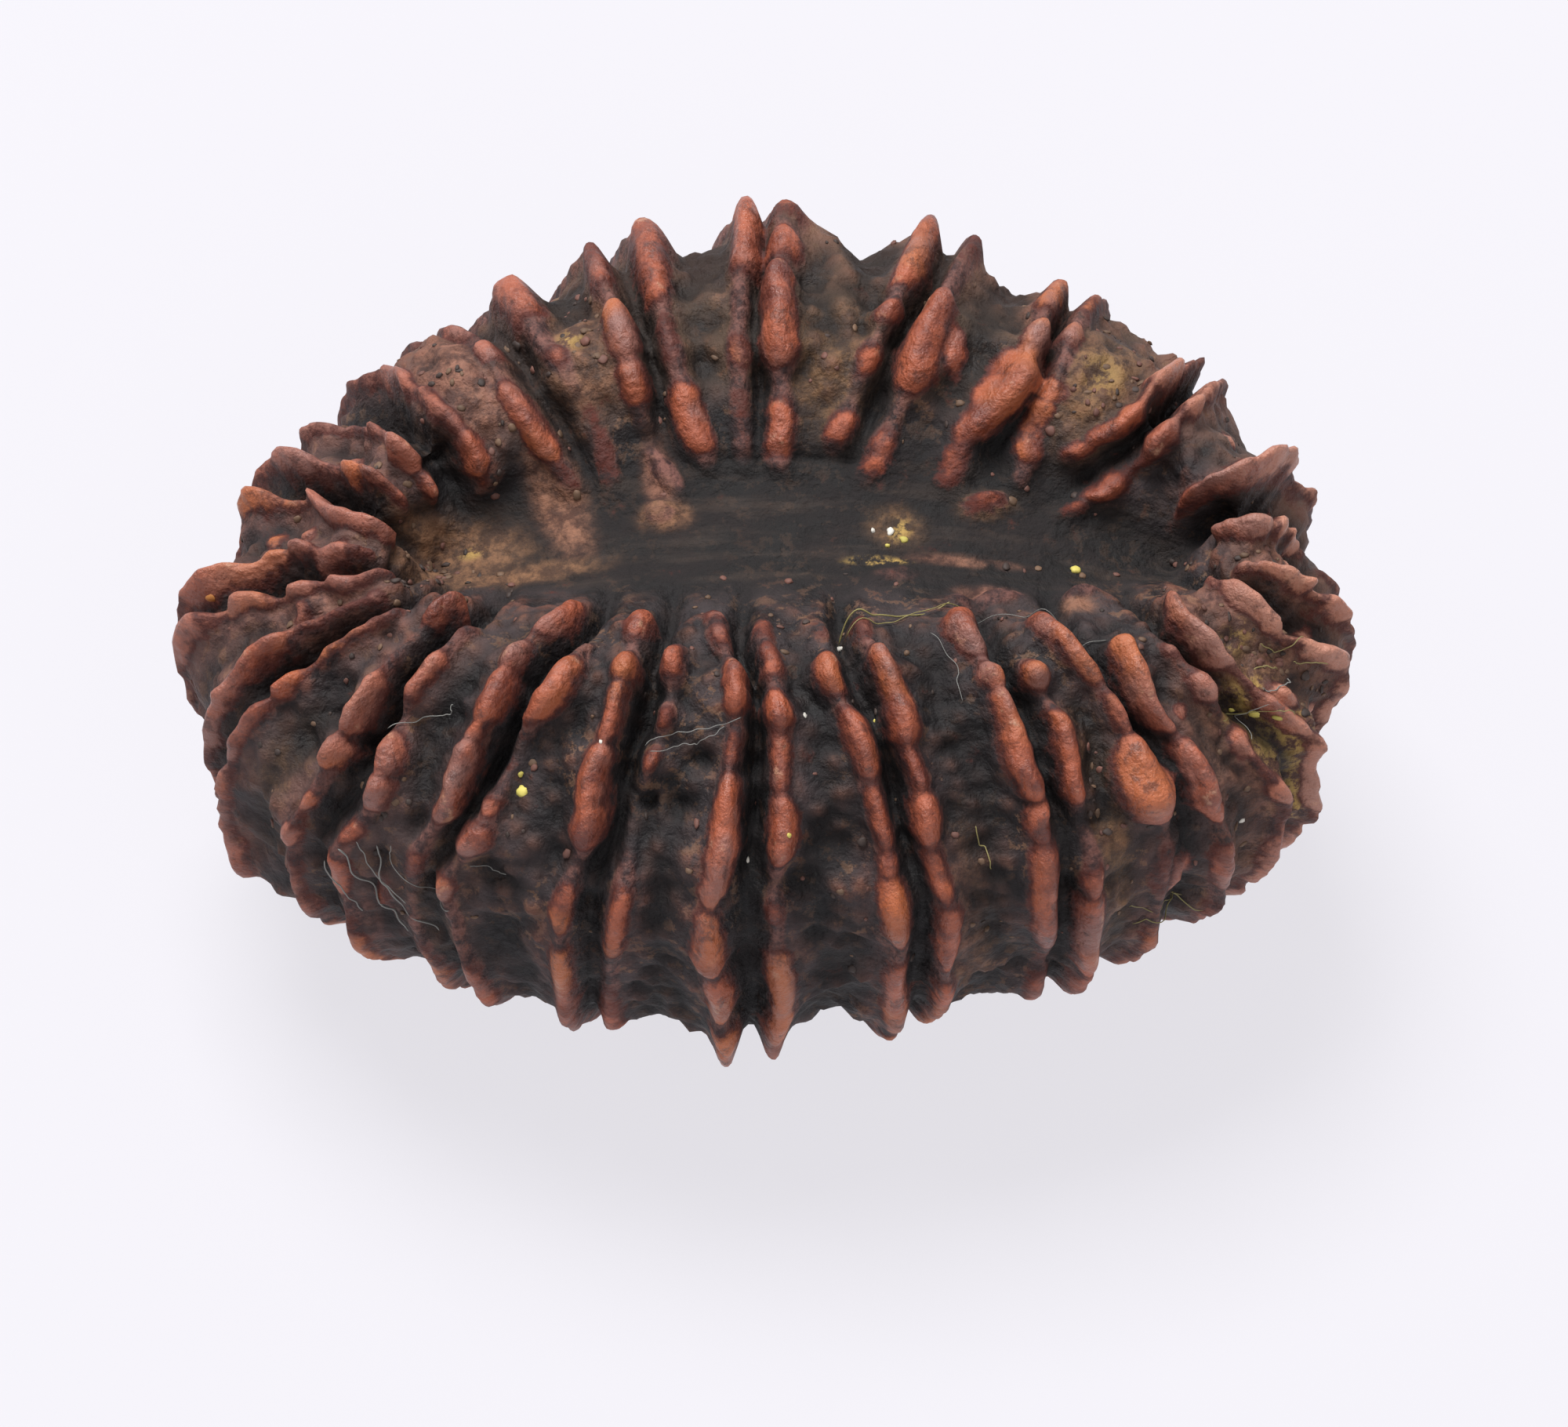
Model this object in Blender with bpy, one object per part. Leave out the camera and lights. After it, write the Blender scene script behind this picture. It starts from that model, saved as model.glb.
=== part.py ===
"""A rudraksha bead: one dried seed stone, oval in plan, with a long valley over its top and its underside.

Twenty grooves run from the upper valley to the lower one, and a raised ridge stands on each side of
every groove. A place on the stone is given by two numbers. turn is the angle round the stone in
degrees, 0 at +X and 90 at +Y. fall goes from 0 in the upper valley to 1 in the lower one.
"""

import math

import bmesh
import bpy
import numpy as np

MM = 0.001

# The smooth surface under the ridges, in millimetres.
HALF_LENGTH = 16.0
HALF_WIDTH = 11.7
UPPER_HEIGHT = 8.4
UNDER_HEIGHT = 10.4
UNDER_TAPER = 0.08
SHOULDER_POWER = 0.8
VALLEY_DEPTH = 3.6
UNDER_VALLEY_DEPTH = 3.0
VALLEY_REACH = 0.42
VALLEY_SHIFT = (1.5, -0.3)
# How far the plan is from a true oval: waves round it, the front being the fuller side.
PLAN_COS = {1: 0.045}
PLAN_SIN = {1: -0.09, 2: 0.018, 3: -0.036}

# Ridges and grooves, in millimetres. A ridge's half width is taken at half its height.
RIDGE_HALF_WIDTH = 0.42
RIDGE_END_FALL = 0.93
RIDGE_RISE_FALL = 0.012
GROOVE_DEPTH = 0.75
GROOVE_HALF_WIDTH = 0.3
GROOVE_START_FALL = 0.05

# A face between two grooves sags below its ridges, and the outer side of a ridge slopes down to it.
# Each is given for the upper face and for the outside, which starts higher at the back.
OUTSIDE_FALL = (0.33, 0.43)
BACK_FALL = 0.12
FACE_SAG = (0.42, 0.02)
BACK_SAG = 0.22
RIDGE_SHARE = (0.74, 1.0)
SLOPE_SHARE = (0.6, 0.8)
SLOPE_REACH = (0.85, 1.3)
GROOVE_FILL = (0.0, 0.6)
FRONT_START = 0.62
# Places that lie deeper than the rest: turn, fall, depth, half length along the fall, half width.
DENTS = ((358, 0.38, 0.9, 3.0, 1.3), (338, 0.47, 0.6, 2.6, 1.1), (277.5, 0.6, 0.5, 2.0, 0.9))
# The length of the surface from the upper valley to the lower one, about.
FALL_LENGTH = 38.0

# The height cut off the lowest ridges, where the bead lies.
REST_CUT = 0.8

# Columns round the stone: eight to a groove. Rows from the top down: (from fall, to fall, rows).
COLUMNS_PER_GROOVE = 8
ROW_BANDS = ((0.0, 0.04, 2), (0.04, 0.32, 13), (0.32, 0.62, 10), (0.62, 1.0, 9))
COLUMN_START = -2.25
SEED = 20

# The two ridges of each groove, in the order of turn, as (fall, turn, height, half width) where the
# ridge changes. A low height between two higher ones is a break in the ridge. The half width may be
# left out.
GROOVES = (
    (
        ((0.17, -23, 0.5), (0.22, -23.8, 1.0, 0.5), (0.30, -22.8, 1.1, 0.5), (0.38, -18, 1.3, 0.6),
         (0.44, -18.5, 1.2), (0.52, -19, 0.7)),
        ((0.20, -15, 0.5), (0.27, -12, 1.0), (0.33, -10.4, 1.1), (0.42, -10, 0.9), (0.55, -9, 0.9)),
    ),
    (
        ((0.15, -2.8, 0.7), (0.20, -5.5, 1.1, 0.55), (0.27, -0.5, 1.2, 0.6), (0.36, 2.5, 0.8),
         (0.43, 2, 0.5), (0.50, 0.7, 0.9)),
        ((0.10, 14.5, 0.5), (0.14, 13.5, 0.9), (0.20, 8.5, 1.4), (0.25, 10, 2.1), (0.31, 11.5, 2.0),
         (0.38, 11.5, 1.2), (0.52, 11.5, 1.1)),
    ),
    (
        ((0.03, 46, 0.5), (0.06, 40.5, 0.9), (0.085, 36, 1.0), (0.105, 33.5, 0.9), (0.118, 32, 0.2),
         (0.13, 28.5, 0.8), (0.165, 27.3, 1.0, 0.7), (0.20, 27, 0.9), (0.25, 27.6, 1.2),
         (0.30, 29, 1.3, 0.6), (0.40, 31, 1.5, 0.6), (0.50, 31.5, 1.2)),
        ((0.095, 46.5, 0.8), (0.135, 38, 1.0, 0.5), (0.16, 34.6, 1.0), (0.22, 34, 1.1),
         (0.32, 34.5, 1.3), (0.50, 37, 1.1)),
    ),
    (
        ((0.055, 55, 0.9), (0.085, 53.2, 0.9), (0.11, 52.9, 0.3), (0.15, 50, 0.7), (0.30, 50, 0.95),
         (0.50, 49, 1.1)),
        ((0.035, 68.5, 0.4), (0.05, 66, 0.7), (0.08, 65.3, 0.9), (0.10, 63.2, 1.0, 0.55),
         (0.12, 59, 1.0, 0.5), (0.155, 54.8, 1.2), (0.18, 55.5, 0.5), (0.21, 55, 1.0), (0.32, 55, 0.95),
         (0.50, 57, 1.1)),
    ),
    (
        ((0.03, 81, 0.4), (0.055, 78.5, 0.8), (0.09, 76, 0.8), (0.11, 74.1, 0.6),
         (0.125, 73.2, 1.1, 0.6), (0.155, 71.8, 1.2, 0.55), (0.20, 69.6, 1.2), (0.30, 67, 1.4),
         (0.50, 68, 1.6)),
        ((0.065, 85.5, 0.9), (0.09, 83.7, 0.9), (0.11, 81.8, 0.5), (0.14, 79.7, 0.7), (0.19, 76.6, 1.0),
         (0.25, 73.8, 1.4), (0.32, 72.2, 1.65), (0.50, 74.4, 1.5)),
    ),
    (
        ((0.05, 93.5, 1.0), (0.09, 93, 1.0), (0.115, 92.6, 0.7), (0.14, 92.2, 1.2, 0.5),
         (0.20, 92.1, 1.3), (0.30, 89.3, 1.8, 0.7), (0.36, 89.3, 1.5), (0.50, 90, 1.4)),
        ((0.055, 99, 0.7), (0.12, 98.5, 0.8), (0.18, 97.7, 0.5), (0.22, 96.1, 1.0), (0.30, 93.5, 2.0),
         (0.36, 93.7, 1.4), (0.50, 95.5, 1.2)),
    ),
    (
        ((0.058, 104.5, 1.0), (0.10, 107, 1.0), (0.14, 107.9, 0.9), (0.17, 108.4, 0.5),
         (0.22, 108, 0.9), (0.31, 105.7, 1.8, 0.65), (0.37, 106, 1.4), (0.50, 107, 1.3)),
        ((0.10, 114.8, 0.8), (0.13, 115, 1.1), (0.20, 115.3, 1.2), (0.31, 113.1, 1.6),
         (0.37, 114, 0.9), (0.50, 115, 0.7)),
    ),
    (
        ((0.04, 120, 0.4), (0.09, 121.5, 0.7), (0.12, 124, 0.3), (0.20, 127, 0.7), (0.31, 125.6, 1.7, 0.6),
         (0.38, 126, 0.9), (0.50, 126.5, 1.1)),
        ((0.05, 127, 0.5), (0.09, 131.5, 0.9), (0.13, 135.1, 1.1), (0.17, 137.5, 0.9),
         (0.20, 136.7, 0.8), (0.24, 135.5, 1.26), (0.32, 135.3, 1.3), (0.37, 135.6, 0.9),
         (0.43, 136, 1.5), (0.50, 136.3, 1.5)),
    ),
    (
        ((0.105, 148, 0.9, 0.5), (0.15, 148.5, 1.0), (0.20, 150, 1.0, 0.5), (0.26, 149, 1.24),
         (0.33, 146.1, 1.4), (0.50, 146.5, 1.6)),
        ((0.12, 162.5, 0.7), (0.15, 162.3, 0.9), (0.17, 162, 0.5), (0.20, 161.7, 1.1), (0.26, 158, 0.9),
         (0.36, 154.9, 0.9), (0.44, 156, 1.6, 0.5), (0.50, 156, 1.5)),
    ),
    (
        ((0.14, 172, 0.5), (0.19, 170, 1.0), (0.25, 168.2, 0.8), (0.34, 165.2, 1.5),
         (0.42, 165, 1.9, 0.5), (0.50, 166, 1.3)),
        ((0.15, 186.5, 0.6), (0.18, 186, 0.9), (0.25, 179.1, 1.1, 0.5), (0.30, 173.3, 1.2),
         (0.34, 172.3, 0.8), (0.40, 171.7, 1.5), (0.45, 172.7, 0.9), (0.52, 174, 0.7)),
    ),
    (
        ((0.18, 193, 0.6), (0.215, 190.6, 0.9), (0.24, 187.7, 0.4), (0.29, 184.9, 1.1),
         (0.33, 183.7, 0.9), (0.42, 185, 1.8), (0.52, 185.5, 1.4)),
        ((0.17, 202.5, 0.5), (0.205, 201, 1.1, 0.5), (0.225, 199.2, 0.4), (0.26, 196.1, 1.0),
         (0.30, 193.9, 1.1), (0.325, 192.7, 0.5), (0.37, 190.7, 1.1), (0.40, 191, 0.7),
         (0.45, 190, 1.6, 0.7), (0.55, 192, 1.1)),
    ),
    (
        ((0.20, 205.2, 0.3), (0.28, 202.2, 0.6), (0.34, 201.3, 1.1), (0.42, 202.5, 1.2),
         (0.50, 203.5, 0.95), (0.56, 203.5, 1.0)),
        ((0.20, 211.5, 0.5), (0.27, 209, 0.7), (0.31, 208.4, 0.7), (0.345, 208.6, 1.1),
         (0.42, 208.6, 1.0), (0.48, 209, 1.1), (0.56, 208.5, 1.3), (0.61, 210, 1.6)),
    ),
    (
        ((0.155, 218.8, 0.9), (0.18, 217.6, 1.0), (0.20, 217.3, 0.2), (0.25, 217.5, 0.4),
         (0.275, 218.5, 1.1), (0.32, 219.5, 1.2), (0.38, 220.7, 1.1), (0.42, 221.5, 0.8),
         (0.47, 220.8, 1.1), (0.57, 221.5, 1.1)),
        ((0.18, 224.5, 0.4), (0.23, 224, 0.8), (0.275, 223.8, 0.8), (0.305, 224.7, 0.2),
         (0.33, 226, 1.1, 0.55), (0.37, 227.7, 1.3, 0.5), (0.395, 228, 0.9), (0.415, 227.7, 0.4),
         (0.46, 226.5, 1.0, 0.5), (0.51, 227.5, 0.7), (0.58, 229, 1.3)),
    ),
    (
        ((0.11, 239.3, 0.7), (0.15, 237.3, 1.0), (0.18, 235.1, 0.7), (0.19, 234.6, 0.4),
         (0.205, 234.1, 1.0), (0.25, 234.7, 1.3), (0.30, 234.8, 1.2), (0.37, 235.8, 1.2),
         (0.39, 235.5, 0.5), (0.43, 234.7, 0.7), (0.48, 234.8, 0.4), (0.58, 237.3, 0.8)),
        ((0.17, 243, 0.3), (0.205, 241.9, 1.0, 0.5), (0.24, 241.4, 1.3, 0.55), (0.265, 240.6, 0.9),
         (0.285, 239.8, 0.2), (0.33, 239.8, 0.4), (0.37, 240.3, 0.8), (0.405, 239.9, 1.0, 0.6),
         (0.425, 239.2, 0.3), (0.45, 238.5, 0.9), (0.50, 241, 0.8), (0.59, 242.9, 1.2)),
    ),
    (
        ((0.13, 248.5, 0.8, 0.5), (0.16, 248.5, 0.7), (0.175, 248.8, 0.2), (0.195, 249, 1.0),
         (0.25, 249.8, 1.2, 0.38), (0.29, 249.5, 1.1), (0.32, 249.7, 1.3, 0.5), (0.37, 251.3, 1.2, 0.5),
         (0.395, 250.7, 0.3), (0.43, 250.6, 0.9), (0.50, 251.6, 1.1), (0.60, 251.6, 1.2)),
        ((0.165, 254.5, 0.4), (0.185, 254.6, 1.0), (0.205, 254.8, 0.6), (0.22, 255.2, 0.1),
         (0.245, 255.7, 0.8, 0.32), (0.262, 255.5, 0.1), (0.28, 255.2, 0.5, 0.35),
         (0.305, 254.9, 0.5, 0.35), (0.325, 255.1, 0.1), (0.38, 255.8, 0.3), (0.42, 256.3, 1.0),
         (0.48, 256.5, 1.1), (0.52, 256.2, 0.6), (0.59, 255.8, 1.0)),
    ),
    (
        ((0.125, 258.5, 0.7), (0.15, 259.5, 0.8), (0.17, 260.5, 0.5), (0.182, 261.8, 0.3),
         (0.20, 263, 1.1), (0.24, 263.8, 1.2), (0.262, 264.2, 0.5), (0.30, 264.2, 1.0, 0.38),
         (0.35, 264.9, 1.3, 0.45), (0.42, 265, 1.3), (0.46, 265.3, 1.5, 0.6), (0.52, 267.2, 1.4, 0.5),
         (0.61, 267.3, 1.65)),
        ((0.12, 265.4, 0.4), (0.15, 265.4, 0.6), (0.19, 267.2, 0.6), (0.22, 268.3, 1.0),
         (0.25, 269.2, 1.1), (0.27, 269.7, 0.8), (0.30, 270.2, 1.1), (0.35, 271, 1.3, 0.5),
         (0.375, 271, 1.0), (0.40, 271, 0.3), (0.43, 271.1, 0.7), (0.47, 272.3, 0.5),
         (0.51, 273.3, 1.2, 0.5), (0.61, 272.3, 1.55)),
    ),
    (
        ((0.13, 273, 0.4), (0.15, 273.3, 0.5), (0.165, 273.8, 0.1), (0.183, 274.5, 0.9),
         (0.205, 274.5, 1.0), (0.222, 275.7, 0.3), (0.24, 277.6, 1.0), (0.28, 279.3, 1.2, 0.45),
         (0.31, 280.3, 0.9), (0.35, 281.3, 1.2), (0.385, 282, 0.9), (0.43, 283, 1.3, 0.5),
         (0.48, 284, 1.1), (0.525, 284.2, 0.9), (0.59, 284.5, 1.25, 0.5)),
        ((0.125, 278.5, 0.5), (0.145, 278.8, 0.5), (0.158, 279.5, 0.2), (0.175, 280.5, 1.0),
         (0.205, 281.8, 1.1), (0.22, 282.6, 0.8), (0.245, 283.5, 1.2, 0.5), (0.28, 284.4, 1.1),
         (0.34, 285.8, 1.3, 0.5), (0.38, 286.5, 0.8), (0.405, 287.3, 1.1), (0.45, 288.9, 1.1, 0.5),
         (0.50, 288.8, 1.2), (0.59, 289.3, 0.9)),
    ),
    (
        ((0.125, 292.2, 1.1, 0.6), (0.15, 292.4, 1.2, 0.6), (0.175, 292.9, 1.0, 0.5),
         (0.188, 293.9, 0.2), (0.205, 294.8, 1.0), (0.24, 295.9, 1.2), (0.30, 296.3, 1.4, 0.6),
         (0.35, 297.8, 1.3, 0.5), (0.37, 297.8, 0.9), (0.41, 297.8, 1.3, 0.5), (0.47, 298.5, 1.3),
         (0.50, 299, 1.1), (0.53, 299.3, 0.4), (0.60, 299.5, 1.1)),
        ((0.195, 299.8, 0.3), (0.215, 300.3, 1.1), (0.235, 300.8, 0.2), (0.26, 302, 0.8),
         (0.30, 302, 1.1), (0.345, 302.2, 1.2), (0.37, 302.6, 0.3), (0.405, 303.3, 0.5),
         (0.43, 303.2, 1.1), (0.50, 303.4, 1.2), (0.60, 304, 1.2)),
    ),
    (
        ((0.15, 303.3, 0.8), (0.18, 304.5, 1.1, 0.5), (0.21, 306.9, 1.0, 0.5), (0.235, 308.4, 0.4),
         (0.265, 309.3, 0.9), (0.30, 309.7, 0.9), (0.33, 309.7, 1.3, 0.8), (0.37, 309.8, 1.5, 0.9),
         (0.395, 310.8, 1.0, 0.7), (0.42, 312.5, 0.3), (0.46, 311.5, 0.8, 0.6), (0.54, 311.5, 0.9)),
        ((0.20, 314.1, 0.9), (0.24, 313.6, 1.1), (0.28, 313.8, 0.9), (0.30, 314.6, 0.5),
         (0.325, 315.6, 1.0), (0.37, 316.6, 1.3, 0.5), (0.41, 316.7, 1.0), (0.43, 317.5, 0.7),
         (0.47, 318.2, 1.4), (0.55, 319.3, 1.3)),
    ),
    (
        ((0.22, 320.5, 0.4), (0.245, 320.8, 0.8), (0.285, 322.1, 1.1, 0.55), (0.31, 322.6, 0.8),
         (0.335, 323.2, 0.2), (0.40, 324.5, 0.7), (0.46, 326.5, 1.3, 0.6), (0.56, 326, 1.3)),
        ((0.165, 327, 0.6), (0.20, 324.8, 0.9), (0.26, 326.9, 1.0), (0.29, 328.1, 0.6),
         (0.33, 328.7, 0.9), (0.38, 330.7, 0.7), (0.43, 332.7, 1.4, 0.5), (0.47, 333.4, 1.0),
         (0.54, 334, 1.55)),
    ),
)

# Faces between two grooves that stand up as low mounds, as (fall, turn, height, half width).
MOUNDS = (
    ((0.10, 43, 0.4, 1.2), (0.15, 43, 0.6, 1.5), (0.24, 43, 0.6, 1.4), (0.40, 43, 0.3, 1.2)),
    ((0.10, 84, 0.2, 1.0), (0.16, 84, 0.4, 1.4), (0.24, 85, 0.4, 1.1), (0.30, 86, 1.4, 0.9),
     (0.40, 86, 0.6, 0.9)),
    ((0.10, 121, 0.3, 1.0), (0.16, 121, 0.6, 1.6), (0.24, 121, 0.4, 1.5), (0.40, 121, 0.2, 1.2)),
    ((0.10, 143, 0.5, 0.9), (0.16, 143, 0.9, 1.2), (0.26, 142, 1.2, 1.4), (0.34, 142, 1.2, 1.3),
     (0.45, 142, 0.5, 1.2)),
    ((0.14, 19, 0.3, 1.0), (0.22, 18, 0.5, 1.2), (0.35, 19, 0.3, 1.2)),
    ((0.54, 212, 0.4, 1.2), (0.61, 212, 1.4, 1.6), (0.70, 213, 0.4, 1.4)),
)

FALLS = np.linspace(0, 1, 401)
SMOOTHING = 0.008


def clear_scene():
    for obj in list(bpy.data.objects):
        bpy.data.objects.remove(obj, do_unlink=True)


def smooth_step(low, high, value):
    part = np.clip((value - low) / (high - low), 0, 1)
    return part * part * (3 - 2 * part)


def smoothed(values):
    reach = np.arange(-12, 13) * (FALLS[1] - FALLS[0])
    weights = np.exp(-0.5 * (reach / SMOOTHING) ** 2)
    padded = np.pad(values, 12, mode="edge")
    return np.convolve(padded, weights / weights.sum(), mode="valid")


def track(knots, random=None):
    """(turn, height, half width) of a ridge at every value of FALLS. random carries it on below."""
    knots = [tuple(knot) + (RIDGE_HALF_WIDTH,) * (4 - len(knot)) for knot in knots]
    if random is not None:
        turn = knots[-1][1]
        for fall in (0.68, 0.75, 0.82, 0.88):
            height = random.uniform(0.6, 1.25)
            knots.append((fall, turn + random.uniform(-1.2, 1.2), height, random.uniform(0.4, 0.6)))
    falls, turns, heights, widths = (list(column) for column in zip(*knots))
    turn = smoothed(np.interp(FALLS, falls, turns))
    width = smoothed(np.interp(FALLS, falls, widths))
    end = RIDGE_END_FALL if random is not None else falls[-1] + 0.1
    heights = [0] + heights + [heights[-1], 0]
    falls = [falls[0] - RIDGE_RISE_FALL] + falls + [end - 0.02, end]
    height = smoothed(np.interp(FALLS, falls, heights, left=0, right=0))
    return turn, height, width


def build_tracks():
    """Both ridges of every groove, and the mounds."""
    random = np.random.default_rng(SEED)
    pairs = [(track(low, random), track(high, random)) for low, high in GROOVES]
    return pairs, [track(knots) for knots in MOUNDS]


def base_surface(turn, fall):
    """Points in millimetres of the smooth surface under the ridges. turn is in radians here."""
    out = np.sin(math.pi * fall)
    up = np.cos(math.pi * fall)
    plan = 1 + 0 * turn
    for wave, size in PLAN_COS.items():
        plan = plan + size * out * np.cos(wave * turn)
    for wave, size in PLAN_SIN.items():
        plan = plan + size * out * np.sin(wave * turn)
    focus = HALF_LENGTH**2 - HALF_WIDTH**2
    x = np.sqrt(focus + (HALF_WIDTH * out) ** 2) * np.cos(turn) * plan
    y = HALF_WIDTH * out * np.sin(turn) * plan
    crown = np.hypot(np.sin(turn), HALF_WIDTH / HALF_LENGTH * np.cos(turn))
    height = np.where(up > 0, UPPER_HEIGHT, UNDER_HEIGHT)
    z = height * np.sign(up) * np.abs(up) ** SHOULDER_POWER * crown
    depth = np.where(up > 0, VALLEY_DEPTH, UNDER_VALLEY_DEPTH)
    z = z - np.sign(up) * depth * np.exp(-((out / VALLEY_REACH) ** 3))
    top = np.clip(up, 0, 1)
    taper = 1 - UNDER_TAPER * np.clip(-up, 0, 1)
    return np.stack([x * taper + VALLEY_SHIFT[0] * top, y * taper + VALLEY_SHIFT[1] * top, z], axis=-1)


def base_frame(turn, fall):
    """(point, outward normal, millimetres per radian of turn) of the smooth surface."""
    step = 1e-3
    point = base_surface(turn, fall)
    along_turn = (base_surface(turn + step, fall) - base_surface(turn - step, fall)) / (2 * step)
    along_fall = base_surface(turn, fall + step) - base_surface(turn, fall - step)
    normal = np.cross(along_fall, along_turn)
    length = np.linalg.norm(normal, axis=-1, keepdims=True)
    normal = normal / np.maximum(length, 1e-9)
    return point, normal, np.linalg.norm(along_turn, axis=-1)


def turn_gap(turn, centre):
    """The shorter way round from centre to turn, in radians."""
    return (turn - centre + math.pi) % (2 * math.pi) - math.pi


def ridge_profile(distance, half_width):
    return np.exp(-math.log(2) * np.abs(distance / half_width) ** 3)


def groove_depths(turn, fall, scale, pairs):
    groove = np.zeros_like(turn)
    open_fall = smooth_step(GROOVE_START_FALL, GROOVE_START_FALL + 0.08, fall)
    open_fall = open_fall * smooth_step(0, 0.08, RIDGE_END_FALL - fall)
    for pair in pairs:
        middle = np.radians(np.interp(fall, FALLS, (pair[0][0] + pair[1][0]) / 2))
        distance = turn_gap(turn, middle) * scale
        groove = groove + GROOVE_DEPTH * open_fall * np.exp(-((distance / GROOVE_HALF_WIDTH) ** 2))
    return groove


def mound_heights(turn, fall, scale, mounds):
    total = np.zeros_like(turn)
    for turns, heights, widths in mounds:
        centre = np.radians(np.interp(fall, FALLS, turns))
        distance = turn_gap(turn, centre) * scale
        profile = ridge_profile(distance, np.interp(fall, FALLS, widths))
        total = total + np.interp(fall, FALLS, heights) * profile
    return total


def at_back(turn):
    return smooth_step(0.5, 0.8, np.sin(turn))


def outside(turn, fall):
    """0 on the upper face and 1 on the outside of the stone."""
    first, last = (edge - BACK_FALL * at_back(turn) for edge in OUTSIDE_FALL)
    return smooth_step(first, last, fall)


def between(pair, share):
    return pair[0] + (pair[1] - pair[0]) * share


def face_sag(turn, fall):
    level = outside(turn, fall)
    sag = between(FACE_SAG, level) + BACK_SAG * at_back(turn) * level
    return sag * smooth_step(0.08, 0.2, fall) * smooth_step(0.0, 0.1, 1 - fall)


def height_share(turn, fall):
    """How much of its height a ridge keeps: less on the upper face, and least where one starts in front."""
    start = smooth_step(0.3, 0.6, -np.sin(turn)) * (1 - smooth_step(0.06, 0.22, fall))
    return between(RIDGE_SHARE, outside(turn, fall)) * (1 - (1 - FRONT_START) * start)


def dent_depths(turn, fall, scale):
    depth = np.zeros_like(turn)
    for centre_turn, centre_fall, deepest, length, width in DENTS:
        along = (fall - centre_fall) * FALL_LENGTH / length
        across = turn_gap(turn, math.radians(centre_turn)) * scale / width
        depth = np.maximum(depth, deepest * np.exp(-((along**2 + across**2) ** 1.5)))
    return depth


def relief(turn, fall, scale, pairs, mounds):
    """Height of the ridges and depth of the grooves above the smooth surface, in millimetres."""
    sag = face_sag(turn, fall)
    level = outside(turn, fall)
    open_side = level * (1 - 0.8 * at_back(turn))
    total = mound_heights(turn, fall, scale, mounds) ** 4
    for n, (turns, heights, widths) in enumerate(ridge for pair in pairs for ridge in pair):
        centre = np.radians(np.interp(fall, FALLS, turns))
        gap = turn_gap(turn, centre) * scale
        height = np.maximum(np.interp(fall, FALLS, heights), 0)
        height = (height * height_share(turn, fall) + sag) * np.clip(height / 0.5, 0, 1)
        profile = ridge_profile(gap, np.interp(fall, FALLS, widths))
        # The outer side is the one that faces away from the ridge's own groove.
        outer = gap * (1 if n % 2 else -1)
        fade = np.exp(-((np.maximum(outer, 0) / between(SLOPE_REACH, open_side)) ** 1.3))
        slope = between(SLOPE_SHARE, open_side) * fade * np.where(outer > 0, 1, profile)
        fill = between(GROOVE_FILL, level) * np.where(outer > 0, 0, np.exp(-(gap**2)))
        total = total + (height * profile) ** 4 + (height * np.maximum(slope, fill)) ** 4
    depth = groove_depths(turn, fall, scale, pairs) * (1 - 0.7 * level)
    return total**0.25 - sag - depth - dent_depths(turn, fall, scale)


def column_turns(fall, pairs):
    """The turn of every column in a row, in radians. Columns follow ridges, and are even at the valleys."""
    count = len(pairs) * COLUMNS_PER_GROOVE
    even = np.radians(COLUMN_START) + 2 * math.pi * np.arange(count) / count
    ridges = [np.radians(np.interp(fall, FALLS, ridge[0])) for pair in pairs for ridge in pair]
    widths = [np.interp(fall, FALLS, ridge[2]) for pair in pairs for ridge in pair]
    after = ridges[2:] + [ridges[0] + 2 * math.pi, ridges[1] + 2 * math.pi]
    _, _, scale = base_frame(np.array(ridges), np.full(len(ridges), fall))
    edges = 0.55 * np.array(widths) / np.maximum(scale, 1.0)
    turns = []
    for k in range(len(pairs)):
        low, high = ridges[2 * k], ridges[2 * k + 1]
        following = after[2 * k]
        middle = (low + high) / 2
        high_edge = min(edges[2 * k + 1], 0.3 * (high - low), 0.2 * (following - high))
        face = (high + following) / 2
        next_edge = min(edges[(2 * k + 2) % len(ridges)], 0.2 * (following - high))
        foot = high + high_edge + 0.4 * (face - high - high_edge)
        next_foot = following - next_edge - 0.4 * (following - next_edge - face)
        next_inner = min(edges[(2 * k + 2) % len(ridges)], 0.3 * (after[2 * k + 1] - following))
        turns += [middle, high - high_edge, high + high_edge, foot]
        turns += [face, next_foot, following - next_edge, following + next_inner]
    follow = smooth_step(0.0, 0.08, fall) * smooth_step(0.0, 0.1, 1 - fall)
    turns = np.array(turns)
    return even + follow * (turns - even)


def row_falls():
    rows = [np.linspace(low, high, count, endpoint=False) for low, high, count in ROW_BANDS]
    return np.append(np.concatenate(rows), 1.0)


def stone_points(pairs, mounds):
    """Points in millimetres, as rows of columns."""
    falls = row_falls()
    turn = np.array([column_turns(fall, pairs) for fall in falls])
    fall = np.repeat(falls[:, None], turn.shape[1], axis=1)
    point, normal, scale = base_frame(turn, fall)
    height = relief(turn, fall, scale, pairs, mounds)
    height[[0, -1]] = 0
    return point + normal * height[..., None]


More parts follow.
